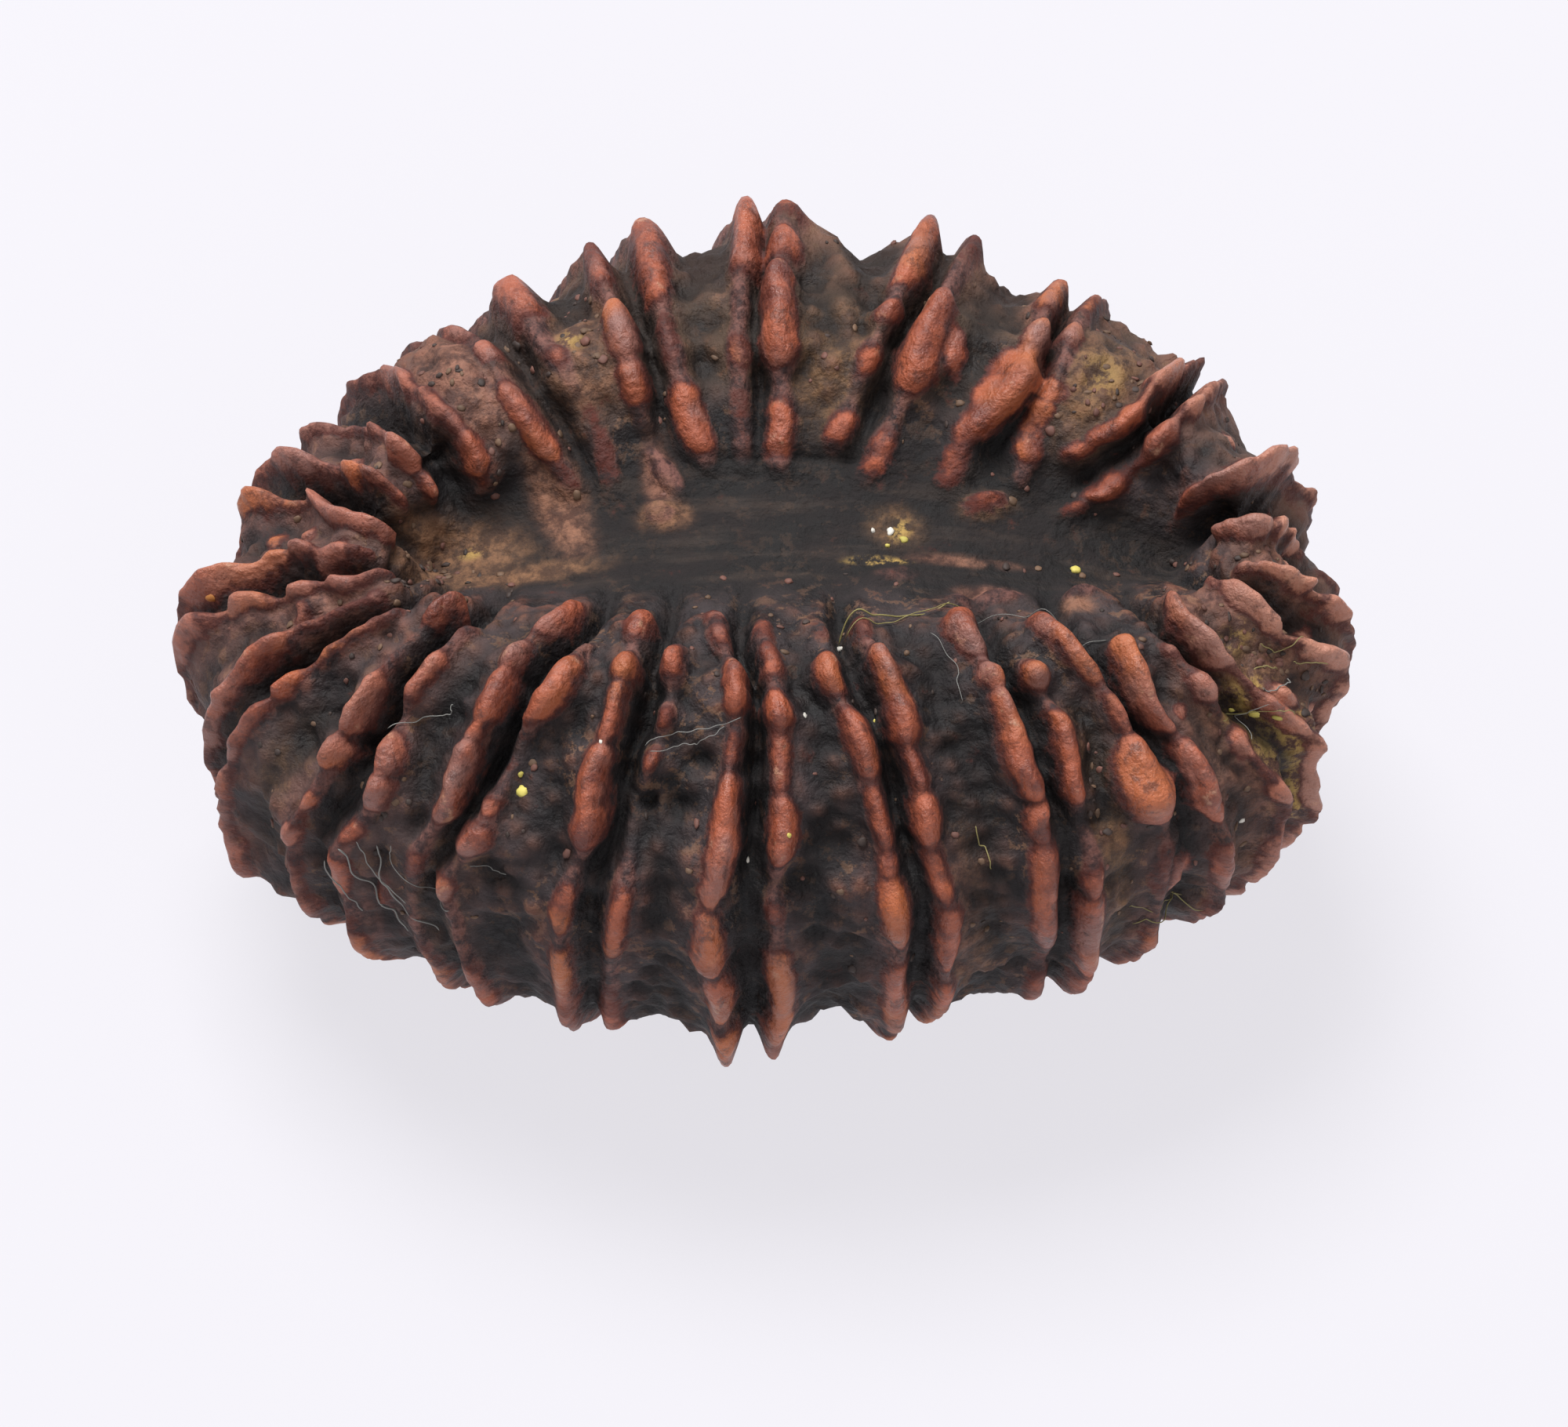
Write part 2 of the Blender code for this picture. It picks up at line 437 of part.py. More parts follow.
def stone_mesh(points, name):
    """A closed mesh. The first and the last row are each folded onto a line, where columns meet in pairs."""
    rows, columns, _ = points.shape
    first = round(-2 * COLUMN_START * columns / 360)

    def index(row, column):
        column %= columns
        if row in (0, rows - 1):
            column = min(column, (first - column) % columns)
        return row * columns + column

    faces = []
    for row in range(rows - 1):
        for column in range(columns):
            left = [index(row, column), index(row + 1, column)]
            right = [index(row + 1, column + 1), index(row, column + 1)]
            corners = left + right
            face = [corner for n, corner in enumerate(corners) if corner not in corners[:n]]
            if len(face) > 2:
                faces.append(face)
    mesh = bpy.data.meshes.new(name)
    mesh.from_pydata((points.reshape(-1, 3) * MM).tolist(), [], faces)
    return mesh


def cut_rest(mesh):
    """Cuts the lowest ridges flat, and sets the stone on Z=0 about the middle of its box."""
    body = bmesh.new()
    body.from_mesh(mesh)
    loose = [vert for vert in body.verts if not vert.link_faces]
    bmesh.ops.delete(body, geom=loose, context="VERTS")
    level = min(vert.co.z for vert in body.verts) + REST_CUT * MM
    everything = body.verts[:] + body.edges[:] + body.faces[:]
    plane = {"plane_co": (0, 0, level), "plane_no": (0, 0, -1)}
    cut = bmesh.ops.bisect_plane(body, geom=everything, dist=1e-7, clear_outer=True, **plane)
    rim = [item for item in cut["geom_cut"] if isinstance(item, bmesh.types.BMEdge)]
    bmesh.ops.holes_fill(body, edges=rim, sides=0)
    bmesh.ops.recalc_face_normals(body, faces=body.faces[:])
    xs = [vert.co.x for vert in body.verts]
    ys = [vert.co.y for vert in body.verts]
    shift = (-(min(xs) + max(xs)) / 2, -(min(ys) + max(ys)) / 2, -level)
    bmesh.ops.translate(body, verts=body.verts[:], vec=shift)
    body.to_mesh(mesh)
    body.free()


def seed_material():
    material = bpy.data.materials.new("dried_seed")
    material.use_nodes = True
    shader = material.node_tree.nodes["Principled BSDF"]
    shader.inputs["Base Color"].default_value = (0.19, 0.075, 0.045, 1)
    shader.inputs["Roughness"].default_value = 0.55
    shader.inputs["Metallic"].default_value = 0.0
    return material


def main():
    clear_scene()
    collection = bpy.data.collections.new("rudraksha_bead")
    bpy.context.scene.collection.children.link(collection)
    pairs, mounds = build_tracks()
    mesh = stone_mesh(stone_points(pairs, mounds), "rudraksha_bead")
    cut_rest(mesh)
    for face in mesh.polygons:
        face.use_smooth = True
    mesh.materials.append(seed_material())
    collection.objects.link(bpy.data.objects.new("rudraksha_bead", mesh))


main()
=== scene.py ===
"""The look of the rudraksha bead: its ridged stone at full detail, its finish, and a plain studio.

The stone repeats the model's own form: a smooth oval surface, the ridges beside its grooves, and low
mounds. On top of that come knobs, pits, small warts and wrinkles. A place on the stone is given by two
numbers. turn is the angle round it in degrees, 0 at +X and 90 at +Y. fall goes from 0 in the upper
valley to 1 in the lower one.
"""

import math

import bmesh
import bpy
import numpy as np
from mathutils import Matrix, Vector


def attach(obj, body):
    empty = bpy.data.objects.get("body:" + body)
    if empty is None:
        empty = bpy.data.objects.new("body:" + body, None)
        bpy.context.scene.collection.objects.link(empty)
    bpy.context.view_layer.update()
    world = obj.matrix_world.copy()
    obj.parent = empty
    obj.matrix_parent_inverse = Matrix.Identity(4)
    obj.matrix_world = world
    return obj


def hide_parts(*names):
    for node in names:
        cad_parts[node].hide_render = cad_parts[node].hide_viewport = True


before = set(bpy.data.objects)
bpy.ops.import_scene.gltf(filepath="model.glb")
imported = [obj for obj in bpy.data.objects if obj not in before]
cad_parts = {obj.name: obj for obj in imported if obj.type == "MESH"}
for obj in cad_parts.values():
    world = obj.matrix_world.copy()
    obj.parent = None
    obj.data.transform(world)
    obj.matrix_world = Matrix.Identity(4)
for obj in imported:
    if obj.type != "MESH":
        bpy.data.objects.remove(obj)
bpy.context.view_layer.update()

MM = 0.001
NODE = "rudraksha_bead"

# The smooth surface under the ridges, in millimetres.
HALF_LENGTH = 16.0
HALF_WIDTH = 11.7
UPPER_HEIGHT = 8.4
UNDER_HEIGHT = 10.4
UNDER_TAPER = 0.08
SHOULDER_POWER = 0.8
VALLEY_DEPTH = 3.6
UNDER_VALLEY_DEPTH = 3.0
VALLEY_REACH = 0.42
VALLEY_SHIFT = (1.5, -0.3)
# How far the plan is from a true oval: waves round it, the front being the fuller side.
PLAN_COS = {1: 0.045}
PLAN_SIN = {1: -0.09, 2: 0.018, 3: -0.036}

# Ridges and grooves, in millimetres. A ridge's half width is taken at half its height.
RIDGE_HALF_WIDTH = 0.42
RIDGE_END_FALL = 0.93
RIDGE_RISE_FALL = 0.012
GROOVE_DEPTH = 0.75
GROOVE_HALF_WIDTH = 0.3
GROOVE_START_FALL = 0.05

# The height cut off the lowest ridges, where the bead lies.
REST_CUT = 0.8
SEED = 20

# A face between two grooves sags below its ridges, and the outer side of a ridge slopes down to it.
# Each is given for the upper face and for the outside, which starts higher at the back.
OUTSIDE_FALL = (0.33, 0.43)
BACK_FALL = 0.12
FACE_SAG = (0.42, 0.02)
BACK_SAG = 0.22
RIDGE_SHARE = (0.74, 1.0)
SLOPE_SHARE = (0.6, 0.8)
SLOPE_REACH = (0.85, 1.3)
GROOVE_FILL = (0.0, 0.6)
FRONT_START = 0.62
# Places that lie deeper than the rest: turn, fall, depth, half length along the fall, half width.
DENTS = (
    (358, 0.38, 0.9, 3.0, 1.3),
    (338, 0.47, 0.6, 2.6, 1.1),
    (277.5, 0.6, 0.5, 2.0, 0.9),
    (90, 0.061, 0.25, 0.2, 2.4),
)
# The length of the surface from the upper valley to the lower one, about.
FALL_LENGTH = 38.0

# Fine detail on the ridges and the faces between them, in millimetres.
RIDGE_WANDER = 0.09
RIDGE_KNOBS = 0.16
WIDTH_CHANGE = 0.2
PIT_SPACING = 1.25
PIT_DEPTH = 0.34
WART_SPACING = 0.7
WART_HEIGHT = 0.3
ROUGHNESS_SIZE = 0.45
ROUGHNESS_HEIGHT = 0.13
SWELL_SIZE = 1.3
SWELL_HEIGHT = 0.32
# The depth of the finest grain, which is bump alone, in metres.
BUMP_DEPTH = 0.00014
# The size of the areas that have more pits or more warts.
PATCH_SIZE = 2.4
# The size of a pit and of a wart, over their spacing.
PIT_SIZE = 0.34
WART_SIZE = 0.36
# Towards the two ends of the stone, ridges swell and narrow this much more.
END_KNOBS = 0.16
# Ridges are narrower by these shares towards the two ends, and wider at the back.
END_NARROWING = 0.3
BACK_WIDENING = 0.2
# Powers in the cross sections of a ridge, of its rubbed crest and of a mound. A higher one is flatter
# on top, with steeper sides.
RIDGE_POWER = 2.7
CREST_POWER = 2.8
MOUND_POWER = 3
# The width of the rubbed crest, over that of the ridge, and how far from its middle a ridge is felt.
CREST_WIDTH = 0.8
RIDGE_REACH = 4
# Cells each way before the noise repeats.
NOISE_CELLS = 32

# Columns in each of the eight steps from groove to groove, and rows: (from fall, to fall, rows).
COLUMN_STEPS = (3, 5, 4, 4, 4, 4, 5, 3)
ROW_BANDS = ((0.0, 0.03, 4), (0.03, 0.34, 66), (0.34, 0.64, 56), (0.64, 1.0, 29))
COLUMN_START = -2.25

# The studio, in metres and watts: the floor's size and the strength of its glow, each light's name,
# place, size and power, the point that lights aim at, and the light from all round.
FLOOR_SIZE = 3
FLOOR_GLOW = 0.84
LIGHTS = (("overhead", (-0.1, 0.2, 0.5), 0.28, 4.4), ("front", (0.2, -0.5, 0.4), 0.5, 0.9))
LIT_POINT = Vector((0, 0, 0.008))
WORLD_COLOUR = (0.95, 0.95, 0.99, 1)
WORLD_STRENGTH = 0.42

# The camera, as the photograph was taken, in degrees and metres, with its sensor in millimetres. The
# view's centre is VIEW_OFFSET from the middle of the stone's widest level, to the right and up in the
# picture.
CAMERA_ELEVATION = 55
CAMERA_DISTANCE = 0.33
FRAME_WIDTH = 0.0467
SENSOR_WIDTH = 36
VIEW_OFFSET = (0.00098, -0.00313)

# The two ridges of each groove, in the order of turn, as (fall, turn, height, half width) where the
# ridge changes. A low height between two higher ones is a break in the ridge. The half width may be
# left out.
GROOVES = (
    (
        ((0.17, -23, 0.5), (0.22, -23.8, 1.0, 0.5), (0.3, -22.8, 1.1, 0.5), (0.38, -18, 1.3, 0.6),
         (0.44, -18.5, 1.2), (0.52, -19, 0.7)),
        ((0.2, -15, 0.5), (0.27, -12, 1.0), (0.33, -10.4, 1.1), (0.42, -10, 0.9), (0.55, -9, 0.9)),
    ),
    (
        ((0.15, -2.8, 0.7), (0.2, -5.5, 1.1, 0.55), (0.27, -0.5, 1.2, 0.6), (0.36, 2.5, 0.8),
         (0.43, 1.5, 0.3), (0.5, 0.7, 0.9)),
        ((0.1, 14.5, 0.5), (0.14, 13.5, 0.9), (0.2, 8.5, 1.4), (0.25, 10, 2.1), (0.31, 11.5, 2.0),
         (0.38, 11.5, 0.9), (0.52, 11.5, 0.8)),
    ),
    (
        ((0.03, 46, 0.5), (0.06, 40.5, 0.9), (0.085, 36, 1.0), (0.105, 33.5, 0.9), (0.118, 32, 0.2),
         (0.13, 28.5, 0.8), (0.165, 27.3, 1.0, 0.7), (0.2, 27, 0.9), (0.25, 27.6, 1.2),
         (0.3, 29, 1.1, 0.5), (0.4, 31.5, 1.1, 0.45), (0.5, 32, 1.2)),
        ((0.095, 46.5, 0.8), (0.135, 38, 1.0, 0.5), (0.16, 34.6, 1.0), (0.22, 34, 1.1),
         (0.32, 34.5, 1.3), (0.5, 37, 1.1)),
    ),
    (
        ((0.055, 55, 0.9), (0.085, 53.2, 0.9), (0.11, 52.9, 0.3), (0.15, 50, 0.7), (0.3, 50, 0.95),
         (0.5, 49, 1.1)),
        ((0.035, 68.5, 0.4), (0.05, 66, 0.7), (0.08, 65.3, 0.9), (0.1, 63.2, 1.0, 0.55),
         (0.12, 59, 1.0, 0.5), (0.155, 54.8, 1.2), (0.18, 55.5, 0.5), (0.21, 55, 1.0), (0.32, 55, 0.95),
         (0.5, 57, 1.1)),
    ),
    (
        ((0.03, 81, 0.4), (0.055, 78.5, 0.8), (0.09, 76, 0.8), (0.11, 74.1, 0.6),
         (0.125, 73.2, 1.1, 0.6), (0.155, 71.8, 1.2, 0.55), (0.2, 69.6, 1.2), (0.3, 67, 1.4),
         (0.5, 68, 1.6)),
        ((0.065, 85.5, 0.9), (0.09, 83.7, 0.9), (0.11, 81.8, 0.5), (0.14, 79.7, 0.7), (0.19, 76.6, 1.0),
         (0.25, 73.8, 1.4), (0.32, 72.2, 1.65), (0.5, 74.4, 1.5)),
    ),
    (
        ((0.05, 93.5, 1.0), (0.09, 93, 1.0), (0.115, 92.6, 0.7), (0.14, 92.2, 1.2, 0.5),
         (0.2, 92.1, 1.3), (0.3, 89.3, 1.8, 0.7), (0.36, 89.3, 1.5), (0.5, 90, 1.4)),
        ((0.055, 99, 0.7), (0.12, 98.5, 0.8), (0.18, 97.7, 0.5), (0.22, 96.1, 1.0), (0.3, 93.5, 2.0),
         (0.36, 93.7, 1.4), (0.5, 95.5, 1.2)),
    ),
    (
        ((0.058, 104.5, 1.0), (0.1, 107, 1.0), (0.14, 107.9, 0.9), (0.17, 108.4, 0.5),
         (0.22, 108, 0.9), (0.31, 105.7, 1.8, 0.65), (0.37, 106, 1.4), (0.5, 107, 1.3)),
        ((0.1, 114.8, 0.8), (0.13, 115, 1.1), (0.2, 115.3, 1.2), (0.31, 113.1, 1.6),
         (0.37, 114, 0.9), (0.5, 115, 0.7)),
    ),
    (
        ((0.04, 120, 0.4), (0.09, 121.5, 0.7), (0.12, 124, 0.3), (0.2, 127, 0.7), (0.31, 125.6, 1.7, 0.6),
         (0.38, 126, 0.9), (0.5, 126.5, 1.1)),
        ((0.05, 127, 0.5), (0.09, 131.5, 0.9), (0.13, 135.1, 1.1), (0.17, 137.5, 0.9),
         (0.2, 136.7, 0.8), (0.24, 135.5, 1.26), (0.32, 135.3, 1.3), (0.37, 135.6, 0.9),
         (0.43, 136, 1.5), (0.5, 136.3, 1.5)),
    ),
    (
        ((0.105, 148, 0.9, 0.5), (0.15, 148.5, 1.0), (0.2, 150, 1.0, 0.5), (0.26, 149, 1.24),
         (0.33, 146.1, 1.4), (0.5, 146.5, 1.6)),
        ((0.12, 162.5, 0.7), (0.15, 162.3, 0.9), (0.17, 162, 0.5), (0.2, 161.7, 1.1), (0.26, 158, 0.9),
         (0.36, 154.9, 0.9), (0.44, 156, 1.6, 0.5), (0.5, 156, 1.5)),
    ),
    (
        ((0.14, 172, 0.5), (0.19, 170, 1.0), (0.25, 168.2, 0.8), (0.34, 165.2, 1.5),
         (0.42, 165, 1.8, 0.42), (0.5, 166, 1.3)),
        ((0.15, 186.5, 0.6), (0.18, 186, 0.9), (0.25, 179.1, 1.1, 0.5), (0.3, 173.3, 1.2),
         (0.34, 172.3, 0.8), (0.4, 171.7, 1.5), (0.45, 172.7, 0.9), (0.52, 174, 0.7)),
    ),
    (
        ((0.18, 193, 0.6), (0.215, 190.6, 0.9), (0.24, 187.7, 0.4), (0.29, 184.9, 1.1, 0.36),
         (0.33, 183.7, 0.7, 0.34), (0.42, 185, 1.5, 0.36), (0.52, 185.5, 1.4)),
        ((0.17, 202.5, 0.5), (0.205, 201, 1.1, 0.5), (0.225, 199.2, 0.4), (0.26, 196.1, 1.0),
         (0.3, 193.9, 1.1), (0.325, 192.7, 0.5), (0.37, 190.7, 1.1), (0.4, 191, 0.7),
         (0.45, 190, 1.6, 0.7), (0.55, 192, 1.1)),
    ),
    (
        ((0.2, 205.2, 0.3), (0.28, 202.2, 0.6), (0.34, 201.3, 1.1), (0.42, 202.5, 1.2),
         (0.5, 203.5, 0.95), (0.56, 203.5, 1.0)),
        ((0.2, 211.5, 0.5), (0.27, 209, 0.7), (0.31, 208.4, 0.7), (0.345, 208.6, 1.1),
         (0.42, 208.6, 1.0), (0.48, 209, 1.1), (0.56, 208.5, 1.3), (0.61, 210, 1.6)),
    ),
    (
        ((0.155, 218.8, 0.9), (0.18, 217.6, 1.0), (0.2, 217.3, 0.2), (0.25, 217.5, 0.4),
         (0.275, 218.5, 1.1), (0.32, 219.5, 1.2), (0.38, 220.7, 1.1), (0.42, 221.5, 0.8),
         (0.47, 220.8, 1.1), (0.57, 221.5, 1.1)),
        ((0.18, 224.5, 0.4), (0.23, 224, 0.8), (0.275, 223.8, 0.8), (0.305, 224.7, 0.2),
         (0.33, 226, 1.1, 0.55), (0.37, 227.7, 1.3, 0.5), (0.395, 228, 0.9), (0.415, 227.7, 0.4),
         (0.46, 226.5, 1.0, 0.5), (0.51, 227.5, 0.7), (0.58, 229, 1.3)),
    ),
    (
        ((0.11, 239.3, 0.7), (0.15, 237.3, 1.0), (0.18, 235.1, 0.7), (0.19, 234.6, 0.4),
         (0.205, 234.1, 1.0), (0.25, 234.7, 1.3), (0.3, 234.8, 1.2), (0.37, 235.8, 1.2),
         (0.39, 235.5, 0.5), (0.43, 234.7, 0.7), (0.48, 234.8, 0.4), (0.58, 237.3, 0.8)),
        ((0.17, 243, 0.3), (0.205, 241.9, 1.0, 0.5), (0.24, 241.4, 1.3, 0.55), (0.265, 240.6, 0.9),
         (0.285, 239.8, 0.2), (0.33, 239.8, 0.4), (0.37, 240.3, 0.8), (0.405, 239.9, 1.0, 0.6),
         (0.425, 239.2, 0.3), (0.45, 238.5, 0.9), (0.5, 241, 0.8), (0.59, 242.9, 1.2)),
    ),
    (
        ((0.13, 248.5, 0.8, 0.5), (0.16, 248.5, 0.7), (0.175, 248.8, 0.2), (0.195, 249, 1.0),
         (0.25, 249.8, 1.2, 0.38), (0.29, 249.5, 1.1), (0.32, 249.7, 1.3, 0.5), (0.37, 251.3, 1.2, 0.5),
         (0.395, 250.7, 0.3), (0.43, 250.6, 0.9), (0.5, 251.6, 1.1), (0.6, 251.6, 1.2)),
        ((0.165, 254.5, 0.4), (0.185, 254.6, 1.0), (0.205, 254.8, 0.6), (0.22, 255.2, 0.1),
         (0.245, 255.7, 0.8, 0.32), (0.262, 255.5, 0.1), (0.28, 255.2, 0.5, 0.35),
         (0.305, 254.9, 0.5, 0.35), (0.325, 255.1, 0.1), (0.38, 255.8, 0.3), (0.42, 256.3, 1.0),
         (0.48, 256.5, 1.1), (0.52, 256.2, 0.6), (0.59, 255.8, 1.0)),
    ),
    (
        ((0.125, 258.5, 0.7), (0.15, 259.5, 0.8), (0.17, 260.5, 0.5), (0.182, 261.8, 0.3),
         (0.2, 263, 1.1), (0.24, 263.8, 1.2), (0.262, 264.2, 0.5), (0.3, 264.2, 1.0, 0.38),
         (0.35, 264.9, 1.3, 0.45), (0.42, 265, 1.3), (0.46, 265.3, 1.5, 0.6), (0.52, 267.2, 1.4, 0.5),
         (0.61, 267.3, 1.65)),
        ((0.12, 265.4, 0.4), (0.15, 265.4, 0.6), (0.19, 267.2, 0.6), (0.22, 268.3, 1.0),
         (0.25, 269.2, 1.1), (0.27, 269.7, 0.8), (0.3, 270.2, 1.1), (0.35, 271, 1.3, 0.5),
         (0.375, 271, 1.0), (0.4, 271, 0.3), (0.43, 271.1, 0.7), (0.47, 272.3, 0.5),
         (0.51, 273.3, 1.2, 0.5), (0.61, 272.3, 1.55)),
    ),
    (
        ((0.13, 273, 0.4), (0.15, 273.3, 0.5), (0.165, 273.8, 0.1), (0.183, 274.5, 0.9),
         (0.205, 274.5, 1.0), (0.222, 275.7, 0.3), (0.24, 277.6, 1.0), (0.28, 279.3, 1.2, 0.45),
         (0.31, 280.3, 0.9), (0.35, 281.3, 1.2), (0.385, 282, 0.9), (0.43, 283, 1.3, 0.5),
         (0.48, 284, 1.1), (0.525, 284.2, 0.9), (0.59, 284.5, 1.25, 0.5)),
        ((0.125, 278.5, 0.5), (0.145, 278.8, 0.5), (0.158, 279.5, 0.2), (0.175, 280.5, 1.0),
         (0.205, 281.8, 1.1), (0.22, 282.6, 0.8), (0.245, 283.5, 1.2, 0.5), (0.28, 284.4, 1.1),
         (0.34, 285.8, 1.3, 0.5), (0.38, 286.5, 0.8), (0.405, 287.3, 1.1), (0.45, 288.9, 1.1, 0.5),
         (0.5, 288.8, 1.2), (0.59, 289.3, 0.9)),
    ),
    (
        ((0.125, 292.2, 1.1, 0.6), (0.15, 292.4, 1.2, 0.6), (0.175, 292.9, 1.0, 0.5),
         (0.188, 293.9, 0.2), (0.205, 294.8, 1.0), (0.24, 295.9, 1.2), (0.3, 296.3, 1.4, 0.6),
         (0.35, 297.8, 1.3, 0.5), (0.37, 297.8, 0.9), (0.41, 297.8, 1.3, 0.5), (0.47, 298.5, 1.3),
         (0.5, 299, 1.1), (0.53, 299.3, 0.4), (0.6, 299.5, 1.1)),
        ((0.195, 299.8, 0.3), (0.215, 300.3, 1.1), (0.235, 300.8, 0.2), (0.26, 302, 0.8),
         (0.3, 302, 1.1), (0.345, 302.2, 1.2), (0.37, 302.6, 0.3), (0.405, 303.3, 0.5),
         (0.43, 303.2, 1.1), (0.5, 303.4, 1.2), (0.6, 304, 1.2)),
    ),
    (
        ((0.15, 303.3, 0.8), (0.18, 304.5, 1.1, 0.5), (0.21, 306.9, 1.0, 0.5), (0.235, 308.4, 0.4),
         (0.265, 309.3, 0.9), (0.3, 309.7, 0.9), (0.33, 309.7, 1.3, 0.8), (0.37, 309.8, 1.5, 0.9),
         (0.395, 310.8, 1.0, 0.7), (0.42, 312.5, 0.3), (0.46, 311.5, 0.8, 0.6), (0.54, 311.5, 0.9)),
        ((0.2, 314.1, 0.9), (0.24, 313.6, 1.1), (0.28, 313.8, 0.9), (0.3, 314.6, 0.5),
         (0.325, 315.6, 1.0), (0.37, 316.6, 1.3, 0.5), (0.41, 316.7, 1.0), (0.43, 317.5, 0.7),
         (0.47, 318.2, 1.4), (0.55, 319.3, 1.3)),
    ),
    (
        ((0.22, 320.5, 0.4), (0.245, 320.8, 0.8), (0.285, 322.1, 1.1, 0.55), (0.31, 322.6, 0.8),
         (0.335, 323.2, 0.2), (0.4, 324.5, 0.7), (0.46, 326.5, 1.3, 0.6), (0.56, 326, 1.3)),
        ((0.165, 327, 0.6), (0.2, 324.8, 0.9), (0.26, 326.9, 1.0), (0.29, 328.1, 0.6),
         (0.33, 328.7, 0.9), (0.38, 330.7, 0.7), (0.43, 332.7, 1.4, 0.5), (0.47, 333.4, 1.0),
         (0.54, 334, 1.55)),
    ),
)

# Faces between two grooves that stand up as low mounds, as (fall, turn, height, half width).
MOUNDS = (
    ((0.1, 43, 0.4, 1.2), (0.15, 43, 0.6, 1.5), (0.24, 43, 0.6, 1.4), (0.4, 43, 0.3, 1.2)),
    ((0.1, 84, 0.2, 1.0), (0.16, 84, 0.4, 1.4), (0.24, 85, 0.4, 1.1), (0.3, 86, 1.4, 0.9),
     (0.4, 86, 0.6, 0.9)),
    ((0.1, 121, 0.3, 1.0), (0.16, 121, 0.6, 1.6), (0.24, 121, 0.4, 1.5), (0.4, 121, 0.2, 1.2)),
    ((0.1, 143, 0.5, 0.9), (0.16, 143, 0.9, 1.2), (0.26, 142, 1.2, 1.4), (0.34, 142, 1.2, 1.3),
     (0.45, 142, 0.5, 1.2)),
    ((0.14, 19, 0.3, 1.0), (0.22, 18, 0.5, 1.2), (0.35, 19, 0.3, 1.2)),
    ((0.54, 212, 0.4, 1.2), (0.61, 212, 1.4, 1.6), (0.7, 213, 0.4, 1.4)),
)
# Crests that are more orange: turn, fall, strength, half length along the fall, half width.
ORANGES = (
    (309.5, 0.345, 1, 1.5, 0.9), (297.5, 0.21, 1, 0.6, 0.5), (266, 0.56, 1, 1.6, 0.8),
    (170, 0.25, 1, 1.0, 0.6), (57, 0.085, 1, 0.7, 0.6), (222, 0.4, 1, 1.2, 0.6),
    (266, 0.44, 1, 1.4, 0.6), (275, 0.56, 1, 1.4, 0.7), (232, 0.36, 1, 1.2, 0.6),
    (101, 0.13, 1, 1.6, 0.6), (283, 0.42, 1, 1.0, 0.5),
)
# Knobs that stand apart: turn, fall, height, half length along the fall, half width, lean in degrees,
# and how rubbed it is.
KNOBS = (
    (60.5, 0.03, 0.6, 0.75, 0.36, -55, 0.5),
    (314.5, 0.095, 0.35, 0.35, 0.6, 10, 0.0),
    (111.5, 0.055, 0.4, 1.0, 0.33, 25, 0.0),
    (112.5, 0.016, 0.35, 0.5, 0.5, 0, 0.0),
    (298, 0.092, 0.3, 0.4, 1.2, 0, 0.0),
    (284.5, 0.055, 0.15, 0.5, 0.9, 0, 0.0),
    (60.5, 0.125, 0.45, 1.2, 0.5, -25, 0.9),
    (56.5, 0.165, 0.5, 1.1, 0.6, -45, 0.9),
    (52.5, 0.15, 0.45, 0.5, 0.8, 0, 0.8),
    (67, 0.158, 0.5, 0.9, 0.4, 0, 0.8),
    (198, 0.3, 0.4, 0.7, 0.35, 0, 0.6),
    (180.5, 0.3, 0.4, 0.6, 0.35, 0, 0.6),
    (178, 0.37, 0.45, 0.5, 0.4, 0, 0.6),
    (161, 0.33, 0.4, 0.6, 0.35, 0, 0.6),
    (6, 0.33, 0.45, 0.6, 0.4, 0, 0.6),
    (354, 0.3, 0.45, 0.7, 0.35, 0, 0.6),
    (345, 0.38, 0.45, 0.7, 0.4, 10, 0.6),
    (21, 0.3, 0.4, 0.6, 0.35, 0, 0.6),
    (318, 0.3, 0.3, 0.4, 0.3, 0, 0.6),
    (232, 0.5, 0.4, 0.9, 0.35, 0, 0.4),
    (324, 0.297, 0.55, 0.9, 0.4, 10, 0.8),
    (332.5, 0.362, 0.5, 1.1, 0.35, 15, 0.8),
    (324, 0.372, 0.5, 0.8, 0.4, 0, 0.8),
    (338, 0.47, 0.6, 1.1, 0.45, 0, 0.8),
    (329, 0.52, 0.5, 0.9, 0.45, 10, 0.8),
    (314, 0.495, 0.45, 0.9, 0.4, 0, 0.7),
    (12, 0.24, 0.5, 1.3, 0.3, 0, 0.8),
    (188, 0.25, 0.5, 1.2, 0.3, 0, 0.8),
)
